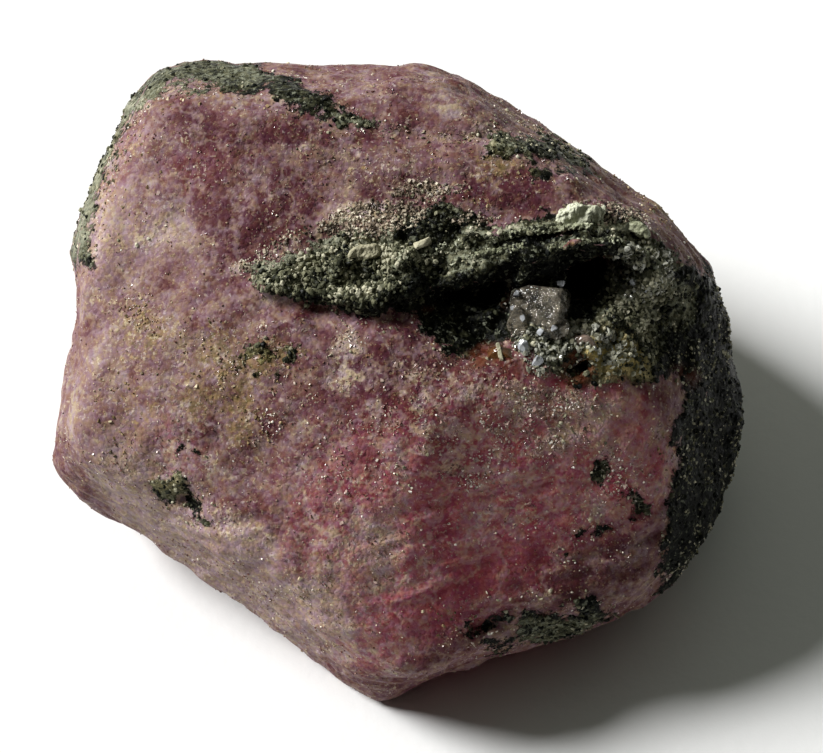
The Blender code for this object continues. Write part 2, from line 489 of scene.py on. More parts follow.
# Whitish haze in the ruby, and how strong it is
HAZE = (
    (Patch((-0.7, -4.6), (1.0, 1.5)), 0.6),
    (Seam(((-2.05, 8.1), (-1.7, 7.0), (-1.6, 6.4), (-1.46, 5.2)), 0.22), 1.1),
    (Seam(((-5.2, 7.0), (-4.2, 6.6), (-3.0, 6.5), (-1.6, 6.3)), 0.3), 0.7),
    (Seam(((-7.4, 6.0), (-6.0, 6.1), (-4.6, 6.4)), 0.35), 0.6),
    (Seam(((-6.6, -2.7), (-5.6, -4.0), (-4.9, -5.0)), 0.12), 1.0),
    (Patch((4.6, -4.0), (3.0, 1.2), -8), 0.28),
    (Patch((-3.0, -3.6), (2.0, 1.8), -20), 0.4),
    (Patch((-8.1, 1.0), (2.6, 5.0), -12), 0.5),
    (Patch((-8.8, 5.2), (1.2, 3.0), -14), 0.45),
    (Patch((-6.5, 4.2), (2.0, 1.0), 10), 0.4),
    (Patch((-1.5, 0.3), (1.1, 1.4), 20), 0.2),
    (Patch((3.6, -1.2), (3.2, 0.7), -8), 0.5),
    (Patch((5.7, -0.8), (1.7, 0.7), -5), 0.6),
    (Patch((-1.0, -6.6), (1.5, 1.6)), 0.25),
    (Patch((6.6, -1.9), (1.3, 1.4)), 0.5),
    (Patch((-1.6, 5.6), (2.2, 1.0), 10), 0.25),
    (Patch((0.6, 6.5), (3.0, 0.5)), 0.3),
    (Patch((-5.0, -5.3), (4.8, 1.5), -38), 1.0),
    (Patch((-7.9, -2.6), (1.2, 1.8), 20), 0.4),
    (Patch((-0.6, 8.6), (1.1, 0.5)), 0.5),
    (Patch((4.9, -1.7), (1.1, 0.8)), 0.6),
    (Patch((-0.5, -5.1), (0.7, 1.3), -12), 0.35),
    (Patch((2.8, -0.6), (1.7, 0.4)), 0.3),
    (Patch((-2.0, -6.6), (1.2, 1.3)), 0.4),
    (Patch((1.2, 5.9), (1.0, 0.9)), 0.6),
    (Patch((5.2, 6.0), (1.0, 0.6), -30), 0.6),
    (Patch((7.6, 5.4), (2.2, 1.0), -42), 0.5),
    (Patch((-0.3, 6.6), (6.5, 2.2)), 0.16),
)

# Depth of the ruby's colour: positive is deeper wine, negative is paler pink. Mostly its own colour; the seam
# along the lower front edge is painted shade
WINE = (
    (Patch((2.4, -2.4), (5.4, 4.4), -20), 0.24),
    (Patch((-1.8, 5.4), (5.4, 3.0), -8), 0.26),
    (Patch((-5.9, 7.5), (1.0, 0.8)), 1.0),
    (Patch((-3.1, 7.1), (1.2, 0.6), -4), 1.1),
    (Patch((-1.0, 7.0), (0.9, 0.4)), 0.5),
    (Patch((-5.6, 5.8), (0.7, 0.9)), 0.5),
    (Patch((-5.6, -3.9), (1.0, 0.7)), 0.8),
    (Patch((-4.9, 4.6), (1.0, 0.7)), 1.1),
    (Patch((-3.2, 5.2), (1.0, 1.1)), 0.8),
    (Patch((-7.6, 1.0), (0.9, 1.7)), 0.5),
    (Patch((-6.6, 3.2), (0.7, 0.7)), 0.3),
    (Patch((-4.8, 3.2), (0.8, 0.8)), 0.5),
    (Patch((-0.8, 5.75), (0.9, 0.6)), 1.4),
    (Patch((3.2, 5.4), (1.5, 0.95), -8), 1.15),
    (Patch((-3.0, 0.8), (1.7, 1.1)), 0.35),
    (Patch((0.0, 0.2), (1.4, 1.6)), 1.25),
    (Patch((1.8, 0.1), (1.9, 1.0)), 1.25),
    (Patch((-0.4, -1.4), (1.4, 0.6), -6), 1.0),
    # Painted shade: deeper wine along the lower front edge, where the surface turns under, away from the
    # light
    (Seam(((0.5, -9.6), (3.0, -9.1), (6.0, -8.2), (8.5, -6.8)), 0.7), 0.7),
    (Patch((-2.9, 1.7), (1.3, 0.5), -5), 0.6),
    (Patch((-0.8, 1.75), (1.3, 0.3), -5), 0.8),
    (Patch((2.05, -0.7), (1.0, 0.6)), 0.45),
    (Patch((1.0, -4.5), (1.2, 0.7)), 0.5),
    (Patch((6.9, -1.2), (0.5, 0.4)), 0.5),
    (Patch((1.4, -2.5), (1.4, 0.9), -15), 0.6),
    (Patch((3.0, -6.4), (4.4, 1.2), 12), 0.4),
    (Patch((-8.3, 0.4), (3.0, 6.0), -10), -0.15),
    (Patch((-8.8, 5.4), (1.2, 3.2), -14), -0.15),
    (Patch((0.2, -4.0), (1.6, 2.6), -12), -0.25),
    (Patch((-5.2, -5.4), (5.0, 1.5), -38), -0.45),
    (Patch((0.8, 8.3), (3.4, 0.9)), -0.2),
)

# Painted light: where the ruby's colour is raised to its lit tones and a faint red emission shows,
# brightening faces that the key light leaves dim, and how much
PAINTED_LIGHT_MARKS = (
    (Patch((0.2, -4.4), (4.8, 4.2), -8), 0.6),
    (Patch((5.2, -2.4), (3.4, 2.6), -10), 1.3),
    (Patch((3.4, -4.8), (2.6, 1.8), -10), 0.4),
    (Patch((-1.2, 1.5), (2.2, 0.5), -4), 0.6),
    (Patch((0.7, -5.0), (2.4, 2.4)), 0.9),
    (Patch((-0.7, -7.8), (1.6, 1.5)), 0.7),
    (Patch((-6.8, -2.1), (1.4, 1.7)), 0.9),
    (Patch((-6.0, 6.1), (1.4, 1.4)), 0.4),
    (Patch((3.8, -0.7), (3.8, 1.2), -8), 0.7),
    (Patch((-9.0, 5.4), (1.6, 3.8), -14), 0.4),
)

# Ochre stain and grains, and how dense they are
OCHRE = (
    (Patch((-5.9, 1.1), (1.1, 0.8), 20), 0.75),
    (Patch((-5.3, -0.3), (1.5, 1.3), -30), 0.7),
    (Patch((-3.9, 0.5), (1.1, 0.8)), 0.9),
    (Patch((-4.5, -1.6), (0.9, 0.6), -20), 0.6),
    (Patch((-7.5, 1.2), (1.1, 1.8)), 0.35),
    (Patch((-7.9, -1.2), (1.4, 1.4), 10), 0.35),
    (Patch((-6.8, -3.2), (0.8, 0.6), 20), 1.0),
    (Patch((-2.2, -5.6), (1.0, 1.4), -30), 0.3),
    (Patch((-1.03, -6.8), (0.4, 0.7)), 0.8),
    (Patch((-2.8, 0.6), (0.2, 0.2)), 1.0),
    (Patch((1.4, -7.2), (0.9, 0.3), 5), 0.8),
    (Patch((6.4, 0.6), (1.4, 1.2)), 0.95),
    (Patch((1.2, -1.6), (0.5, 0.3), -20), 0.1),
    (Patch((2.0, 5.6), (1.5, 1.4)), 0.15),
    (Patch((3.0, 6.3), (0.8, 0.4), -8), 1.0),
    (Patch((3.8, 6.0), (1.2, 0.5), -8), 0.4),
    (Patch((8.0, 5.2), (2.4, 1.1), -42), 0.5),
    (Seam(((-8.2, 6.9), (-7.0, 8.0), (-5.4, 8.1), (-3.8, 7.8), (-2.8, 7.5)), 0.4), 0.45),
    (Patch((-8.0, 5.2), (1.2, 2.0), -14), 0.3),
    (Patch((7.7, -1.6), (0.4, 0.9)), 0.6),
)

# Rust-brown stain in hollows, and how strong it is
RUST = (
    (Patch((5.35, 0.15), (0.62, 0.62)), 2.0),
    (Patch((6.9, -0.5), (0.6, 0.2), 30), 0.5),
    (Patch((0.94, 1.9), (0.22, 0.1)), 1.0),
    (Patch((5.9, 3.3), (0.3, 0.12), 10), 0.8),
    (Patch((2.4, 0.55), (0.9, 0.35), 25), 0.85),
    (Patch((3.1, 0.3), (0.5, 0.4), 20), 0.6),
    (Patch((8.3, 0.1), (0.6, 0.25)), 0.4),
    (Patch((8.5, -0.1), (0.5, 0.3)), 0.35),
    (Patch((6.5, -0.1), (0.35, 0.25)), 0.6),
    (Patch((3.1, 2.6), (0.15, 0.5)), 0.4),
)

# Where growth lines show, and how deep they are
STRIAE = (
    (Patch((3.4, -4.9), (5.4, 2.6), 12), 1.0),
    (Patch((-4.6, -5.4), (5.2, 1.6), -38), 0.7),
    (Patch((4.2, 4.0), (2.6, 0.75), 6), 1.0),
)

# Marks on the sides and the underside, in the crystal's axes
SIDE_AMPHIBOLE = (
    Pocket((12.6, -2.2, -1.0), (5.0, 6.8, 7.5)),
    Pocket((-9.0, 6.2, -0.5), (2.6, 3.4, 2.2)),
    Pocket((0.5, 9.5, -3.0), (5.0, 1.8, 0.8)),
    Pocket((-8.5, -5.5, -3.6), (1.6, 1.2, 1.0)),
    Pocket((1.5, 3.5, -7.0), (3.6, 2.0, 2.0)),
    Pocket((-4.5, -1.5, -6.5), (2.2, 1.4, 2.4)),
)
SIDE_CHALK = (
    Pocket((-6.5, 8.2, -1.0), (2.2, 1.2, 0.9)),
    Pocket((4.5, 7.5, 1.5), (1.6, 1.6, 0.7)),
    Pocket((-1.5, 5.5, -7.0), (1.6, 1.2, 1.6)),
    Pocket((8.5, 5.5, 0.5), (1.0, 1.0, 0.8)),
)
# Painted light on the lower front side: lit tones and a red emission where light through the crystal would
# show
SIDE_PAINTED_LIGHT = Pocket((1.5, -8.0, -3.0), (7.5, 3.6, 4.4))


class Relief(Enum):
    """How a shape on the upper side is cut: from above, or square to the surface."""

    FROM_ABOVE = "Z"
    FROM_SURFACE = "NORMAL"


@dataclass(frozen=True)
class Carving:
    """A raised or sunken area: its outline, its height and how wide its slope is, in millimetres."""

    name: str
    mark: Mark
    height: float
    slope: float


CRUST = Outline((
    (-4.3, 2.9), (-2.9, 3.5), (-1.6, 3.7), (-0.2, 3.9), (0.8, 3.8), (1.1, 3.0), (0.7, 2.3),
    (-0.6, 1.95), (-1.5, 1.9), (-2.9, 2.2), (-4.0, 2.5),
))
CARVINGS = (
    Carving("crust", CRUST, 0.34, 0.6),
    Carving("crust_lip", Seam((
        (-3.9, 2.5), (-2.8, 2.35), (-1.5, 2.2), (-0.3, 2.35), (0.6, 2.75),
    ), 0.34), 0.28, 0.16),
    Carving("left_recess", Outline((
        (0.9, 1.85), (0.9, 2.05), (1.5, 2.3), (2.2, 2.7), (2.95, 3.05), (3.15, 2.8), (2.9, 2.3), (2.2, 2.0),
    )), -0.95, 0.3),
    Carving("middle_bridge", Outline((
        (3.3, 2.75), (3.3, 3.7), (4.6, 3.9), (5.0, 3.6), (4.9, 2.9), (4.2, 2.7),
    )), 0.42, 0.35),
    Carving("deep_hole", Outline((
        (4.9, 2.1), (4.9, 2.8), (5.1, 3.1), (5.7, 3.4), (5.95, 3.3), (5.9, 2.7), (5.7, 2.3), (5.4, 2.1),
    )), -1.5, 0.22),
    Carving("lower_recess", Outline((
        (0.9, 1.8), (2.4, 1.9), (3.3, 1.7), (3.2, 0.8), (2.5, 0.65), (1.7, 0.5), (1.2, 0.95), (0.9, 1.5),
    )), -0.2, 0.2),
    Carving("slab_middle", Outline((
        (1.8, 3.6), (2.8, 4.5), (5.4, 4.8), (6.6, 4.6), (6.6, 3.9), (5.2, 3.75), (3.9, 3.55), (3.0, 3.45),
    )), 0.2, 0.4),
    Carving("slab_ledge", Seam((
        (1.0, 2.55), (1.6, 2.75), (2.2, 3.1), (3.2, 3.45), (4.3, 3.6), (5.4, 3.85), (6.4, 3.8), (6.9, 3.4),
    ), 0.42), 0.45, 0.36),
    Carving("hole_roof", Outline((
        (4.6, 3.4), (4.8, 4.0), (6.4, 4.1), (7.0, 3.6), (6.3, 3.45), (5.6, 3.35),
    )), 0.6, 0.2),
    Carving("right_shelf", Outline((
        (6.3, 3.0), (6.6, 3.9), (7.4, 4.0), (8.1, 3.4), (7.9, 2.6), (7.0, 2.4),
    )), 0.42, 0.5),
    Carving("layer_upper", Seam(((2.3, 3.9), (3.6, 4.25), (5.0, 4.4), (5.9, 4.45)), 0.16), 0.22, 0.12),
    Carving("layer_gap", Seam(((2.9, 3.85), (3.9, 4.05), (5.2, 4.15)), 0.12), -0.25, 0.12),
    Carving("layer_middle", Seam(((1.6, 3.35), (3.0, 3.6), (4.6, 3.85), (5.6, 3.95)), 0.14), 0.18, 0.12),
    Carving("rust_pit", Patch((5.5, 0.3), (0.26, 0.36)), -0.75, 0.16),
    Carving("top_seam", Seam(((-0.9, 7.25), (0.6, 6.95), (2.1, 6.95), (4.7, 6.9)), 0.2), -0.15, 0.2),
    Carving("corner_pit", Patch((-6.15, -3.65), (0.28, 0.5), 20), -0.4, 0.25),
    Carving("pit_upper", Patch((6.01, -2.81), (0.3, 0.33), 20), -0.25, 0.18),
    Carving("pit_lower", Patch((6.8, -3.84), (0.28, 0.42), 30), -0.28, 0.18),
    Carving("pit_small", Patch((4.98, -5.01), (0.2, 0.16)), -0.2, 0.12),
    Carving("foot_patch", Outline((
        (1.9, -7.2), (4.0, -6.7), (6.3, -7.0), (4.0, -7.9), (2.0, -7.7),
    )), -0.25, 0.25),
    Carving("red_ledge", Seam(((-3.4, 1.95), (-1.4, 1.6), (0.4, 1.6)), 0.35), -0.12, 0.35),
)
# Where clear splinters crowd round the large clear grain
SPLINTERS = Outline((
    (3.25, 2.5), (3.6, 2.6), (3.7, 1.6), (4.4, 1.2), (5.4, 1.7), (6.2, 1.3), (6.9, 0.6), (6.2, 0.2),
    (5.4, 0.9), (4.6, 0.5), (4.1, 0.0), (3.4, 0.7),
))
SHELF_SPLINTERS = (Patch((7.1, 3.1), (0.9, 0.9), -30),)
# Black shelf to the right of the clear grain
SHELF = (Patch((7.0, 1.8), (0.9, 1.7), -8),)
# Cream grains above the crust: where they crowd, their thin fringe and the spots further right
CREAM_CRUST = (Patch((-0.75, 4.6), (1.5, 0.45), 8), Patch((0.8, 5.45), (1.1, 0.2), 2))
CREAM_FRINGE = (Seam(((-4.7, 3.2), (-3.0, 4.2), (-1.8, 4.5)), 0.16),)
CREAM_SPOTS = (Patch((5.9, 4.8), (1.2, 0.3), -4), Patch((2.2, 4.6), (0.7, 0.15), 5))
# Thin pale layers along the slab above the hole
STRINGERS = (
    Seam(((2.6, 3.95), (3.6, 4.25), (5.0, 4.45), (5.9, 4.5)), 0.07),
    Seam(((4.4, 3.75), (5.4, 3.95), (6.5, 4.0)), 0.05),
    Seam(((1.6, 3.3), (2.6, 3.65), (3.6, 3.8)), 0.06),
    Seam(((-0.2, 3.5), (0.8, 3.6), (1.6, 3.9)), 0.08),
)
# Hollows that stay dark and hold few grains
DARK_HOLLOWS = tuple(carving.mark for carving in CARVINGS if carving.name.endswith(("recess", "hole")))


@dataclass
class Site:
    """Where the points of a surface are, how they face and how they look in plan."""

    places: np.ndarray
    normals: np.ndarray
    plan: np.ndarray
    facing: np.ndarray

    @classmethod
    def of(cls, places: np.ndarray, normals: np.ndarray) -> "Site":
        """Works out the plan of some points.

        Args:
            places: Points in the crystal's axes in millimetres, one row each.
            normals: Their unit normals.

        Returns:
            The points with their plan and the cosine of their angle to the sight point.
        """
        sight = np.array(SIGHT)
        spread = sight[2] / (sight[2] - places[:, 2:3])
        plan = sight[:2] + (places[:, :2] - sight[:2]) * spread
        ray = sight - places
        ray /= np.linalg.norm(ray, axis=1)[:, None]
        facing = np.einsum("ij,ij->i", ray, normals)
        return cls(places, normals, plan, facing)

    def warp(self) -> np.ndarray:
        """Returns a small uneven shift of the plan, so that no mark has a smooth outline."""
        shifts = [
            sum(ripple(self.places, size, seed + extra) * height for size, height, extra in WARP_RIPPLES)
            for seed in WARP_SEEDS
        ]
        return np.column_stack(shifts)

    def seen(self) -> np.ndarray:
        """Returns 1 where the upper side's marks hold, fading to 0 where the surface turns away."""
        return smooth_step(self.facing, -TURN_AWAY, TURN_AWAY)

    def union(self, marks: tuple[Mark, ...], pockets: tuple[Pocket, ...], reach: float) -> np.ndarray:
        """Measures how far each point is inside any of the marks.

        Args:
            marks: Marks in plan, which hold on the upper side alone.
            pockets: Marks that hold on every side.
            reach: The largest depth that is kept, in millimetres.

        Returns:
            Millimetres inside, negative outside.
        """
        deepest = np.full(len(self.places), -reach)
        for mark in marks:
            deepest = np.maximum(deepest, mark.depth(self.plan))
        seen = self.seen()
        deepest = np.clip(deepest, -reach, reach) * seen - reach * (1 - seen)
        for pocket in pockets:
            deepest = np.maximum(deepest, pocket.depth(self.places))
        return np.clip(deepest, -reach, reach)

    def blend(self, marks: tuple[tuple[Mark, float], ...], slope: float) -> np.ndarray:
        """Adds up soft marks on the upper side.

        Args:
            marks: Each mark with its strength.
            slope: Width of the soft edge inside each mark, in millimetres.

        Returns:
            The sum of the strengths at each point.
        """
        total = np.zeros(len(self.places))
        for mark, strength in marks:
            total += strength * smooth_step(mark.depth(self.plan), -OUTER_SHARE * slope, slope)
        return total * self.seen()


class Wire:
    """One output of a shader node, which takes part in Python sums."""

    def __init__(self, nodes: "Nodes", socket: bpy.types.NodeSocket) -> None:
        """Keeps the socket with the nodes that it belongs to.

        Args:
            nodes: The node tree that the socket is in.
            socket: The output socket.
        """
        self.nodes = nodes
        self.socket = socket

    def math(self, operation: str, other: "Wire | float") -> "Wire":
        """Returns the result of a Math node on this value and another."""
        return self.nodes.math(operation, self, other)

    def __add__(self, other: "Wire | float") -> "Wire":
        """Returns the sum."""
        return self.math("ADD", other)

    def __radd__(self, other: float) -> "Wire":
        """Returns the sum."""
        return self.math("ADD", other)

    def __sub__(self, other: "Wire | float") -> "Wire":
        """Returns the difference."""
        return self.math("SUBTRACT", other)

    def __rsub__(self, other: float) -> "Wire":
        """Returns the difference, taken from a plain number."""
        return self.nodes.math("SUBTRACT", other, self)

    def __mul__(self, other: "Wire | float") -> "Wire":
        """Returns the product."""
        return self.math("MULTIPLY", other)

    def __rmul__(self, other: float) -> "Wire":
        """Returns the product."""
        return self.math("MULTIPLY", other)

    def __abs__(self) -> "Wire":
        """Returns the size without its sign."""
        return self.math("ABSOLUTE", 0.0)


class Nodes:
    """A node tree, whose nodes all come from one method."""

    def __init__(self, tree: bpy.types.NodeTree) -> None:
        """Keeps the tree."""
        self.tree = tree

    def feed(self, node: bpy.types.Node, values: dict[str | int, Setting]) -> None:
        """Gives a node's input sockets their values or links.

        Args:
            node: The node.
            values: A value or a wire for each socket.
        """
        for key, value in values.items():
            if isinstance(value, Wire):
                self.tree.links.new(value.socket, node.inputs[key])
            else:
                node.inputs[key].default_value = value

    def node(
        self,
        kind: str,
        settings: dict[str, Setting] | None = None,
        values: dict[str | int, Setting] | None = None,
        output: str | int = 0,
    ) -> Wire:
        """Adds one node.

        Args:
            kind: The node's type, without its ShaderNode prefix.
            settings: The node's own settings, such as an operation or a ramp's stops.
            values: The values or links of its input sockets.
            output: The output that is wanted.

        Returns:
            That output.
        """
        made = self.tree.nodes.new("ShaderNode" + kind)
        for key, setting in (settings or {}).items():
            if key == "stops":
                self.set_stops(made.color_ramp, setting)
            else:
                setattr(made, key, setting)
        self.feed(made, values or {})
        return Wire(self, made.outputs[output])

    @staticmethod
    def set_stops(ramp: bpy.types.ColorRamp, stops: tuple[tuple[float, Colour], ...]) -> None:
        """Gives a colour ramp its stops.

        Args:
            ramp: The ramp.
            stops: Each stop's position and colour, in rising order.
        """
        while len(ramp.elements) < len(stops):
            ramp.elements.new(1.0)
        for element, (position, colour) in zip(ramp.elements, stops):
            element.position = position
            element.color = (*colour, 1.0)

    def math(self, operation: str, first: Wire | float, second: Wire | float) -> Wire:
        """Returns the result of one Math node."""
        return self.node("Math", {"operation": operation}, {0: first, 1: second})


class Recipe(Nodes):
    """The nodes of one finish, with its pattern coordinates in crystal millimetres."""

    def __init__(self, name: str) -> None:
        """Starts a material with one Principled shader.

        Args:
            name: The material's name.
        """
        self.material = bpy.data.materials.new(name)
        self.material.use_nodes = True
        super().__init__(self.material.node_tree)
        self.shader = self.tree.nodes["Principled BSDF"]
        back = table_from_crystal().inverted()
        local = self.node("TexCoord", output="Object")
        values = {"Location": back.translation, "Rotation": back.to_euler(), "Scale": (1 / MM,) * 3}
        self.place = self.node("Mapping", {"vector_type": "POINT"}, {"Vector": local, **values})

    def attribute(self, name: str) -> Wire:
        """Returns a number that is stored on the mesh."""
        return self.node("Attribute", {"attribute_name": name}, output="Fac")

    def shifted(self, offset: Triple) -> Wire:
        """Returns the pattern coordinates moved by some millimetres."""
        return self.node("VectorMath", {"operation": "ADD"}, {0: self.place, 1: offset})

    def stretched(self, turn: float, squeeze: Triple) -> Wire:
        """Turns the pattern about the c axis and squeezes it.

        Args:
            turn: Degrees about the c axis.
            squeeze: Factor on the pattern's frequency along each axis.

        Returns:
            The new coordinates.
        """
        values = {"Vector": self.place, "Rotation": (0, 0, math.radians(turn))}
        turned = self.node("Mapping", {"vector_type": "POINT"}, values)
        return self.node("VectorMath", {"operation": "MULTIPLY"}, {0: turned, 1: squeeze})

    def noise(self, size: float, detail: float = 3.0, rough: float = 0.55, place: Wire | None = None) -> Wire:
        """Adds soft noise.

        Args:
            size: Size of the largest ripples in millimetres.
            detail: How many finer octaves it has.
            rough: How strong the finer octaves are.
            place: Coordinates, if not the plain ones.

        Returns:
            A value from 0 to 1.
        """
        values = {"Vector": place or self.place, "Scale": 1 / size, "Detail": detail, "Roughness": rough}
        return self.node("TexNoise", None, values)

    def cells(self, size: float, output: str) -> Wire:
        """Adds a pattern of crystal cells.

        Args:
            size: Size of a cell in millimetres.
            output: Distance, from a cell's centre, or Color, which is random for each cell.

        Returns:
            The output that is asked for.
        """
        return self.node("TexVoronoi", None, {"Vector": self.place, "Scale": 1 / size}, output)

    def red(self, colour: Wire) -> Wire:
        """Returns the red part of a colour, as a random number for each cell."""
        return self.node("SeparateColor", None, {"Color": colour}, "Red")

    def larger(self, first: Wire, second: Wire) -> Wire:
        """Returns the larger of two numbers."""
        return self.math("MAXIMUM", first, second)

    def step(self, value: Wire | float, low: float, high: float) -> Wire:
        """Returns a smooth step from 0 at low to 1 at high, or the other way round if low is above high."""
        ends = {"From Min": min(low, high), "From Max": max(low, high)}
        if low > high:
            ends |= {"To Min": 1.0, "To Max": 0.0}
        return self.node("MapRange", {"interpolation_type": "SMOOTHSTEP"}, {"Value": value, **ends})

    def mix(
        self, factor: Wire | float, first: Wire | Colour, second: Wire | Colour, blend: str = "MIX"
    ) -> Wire:
        """Mixes two colours.

        Args:
            factor: Share of the second colour.
            first: The first colour.
            second: The second colour.
            blend: The Mix node's blend type.

        Returns:
            The mixed colour.
        """
        pair = [c if isinstance(c, Wire) else (*c, 1.0) for c in (first, second)]
        settings = {"data_type": "RGBA", "blend_type": blend}
        return self.node("Mix", settings, {0: factor, 6: pair[0], 7: pair[1]}, 2)

    def blend_values(self, factor: Wire, first: Wire | float, second: Wire | float) -> Wire:
        """Returns a number between two others."""
        return self.node("Mix", {"data_type": "FLOAT"}, {0: factor, 2: first, 3: second})

    def ramp(self, factor: Wire, stops: tuple[tuple[float, Colour], ...]) -> Wire:
        """Returns a colour that follows a number."""
        return self.node("ValToRGB", {"stops": stops}, {0: factor})

    def bump(self, height: Wire) -> Wire:
        """Returns the normal that a height in millimetres gives."""
        return self.node("Bump", None, {"Strength": 1.0, "Distance": MM, "Height": height})

    def facets(self, normal: Wire, size: float, amount: Wire | float) -> Wire:
        """Tilts the normal by a random amount in each cell, so that single crystal faces catch the light.

        Args:
            normal: The normal before.
            size: Size of a face in millimetres.
            amount: How far the faces are tilted.

        Returns:
            The tilted normal.
        """
        random = self.cells(size, "Color")
        centred = self.node("VectorMath", {"operation": "SUBTRACT"}, {0: random, 1: (0.5, 0.5, 0.5)})
        tilt = self.node("VectorMath", {"operation": "SCALE"}, {0: centred, "Scale": amount})
        tilted = self.node("VectorMath", {"operation": "ADD"}, {0: normal, 1: tilt})
        return self.node("VectorMath", {"operation": "NORMALIZE"}, {0: tilted})

    def finish(self, colour: Wire, roughness: Wire | float, normal: Wire, ior: float) -> bpy.types.Material:
        """Links the shader.

        Args:
            colour: Base colour.
            roughness: Roughness.
            normal: Normal.
            ior: Index of refraction.

        Returns:
            The finished material.
        """
        values = {"Base Color": colour, "Roughness": roughness, "Normal": normal, "IOR": ior}
        self.feed(self.shader, values)
        return self.material


@dataclass(frozen=True)
class RubyPatterns:
    """Patterns and marks that several parts of the ruby's finish share."""

    mottle: Wire
    fine: Wire
    cloud: Wire
    tint: Wire
    sugar: Wire
    haze: Wire
    wine: Wire
    glow: Wire

    @classmethod
    def of(cls, r: Recipe, grain: float) -> "RubyPatterns":
        """Makes the patterns.

        Args:
            r: The material's recipe.
            grain: Size of the ruby's sugary grains in millimetres.

        Returns:
            The patterns.
        """
        mottle = r.noise(0.8, 6, 0.68)
        return cls(
            mottle=mottle,
            fine=r.noise(0.2, 4, 0.65),
            cloud=r.noise(1.1, 5, 0.65, r.shifted((4.0, 6.0, 1.0))),
            tint=r.red(r.cells(grain, "Color")),
            sugar=r.cells(grain, "Distance"),
            haze=r.attribute("haze"),
            wine=r.attribute("wine"),
            # Where light is painted on, from the stored mark
            glow=r.step(r.attribute("glow") + (mottle - 0.5) * 0.3, 0.0, 1.0),
        )


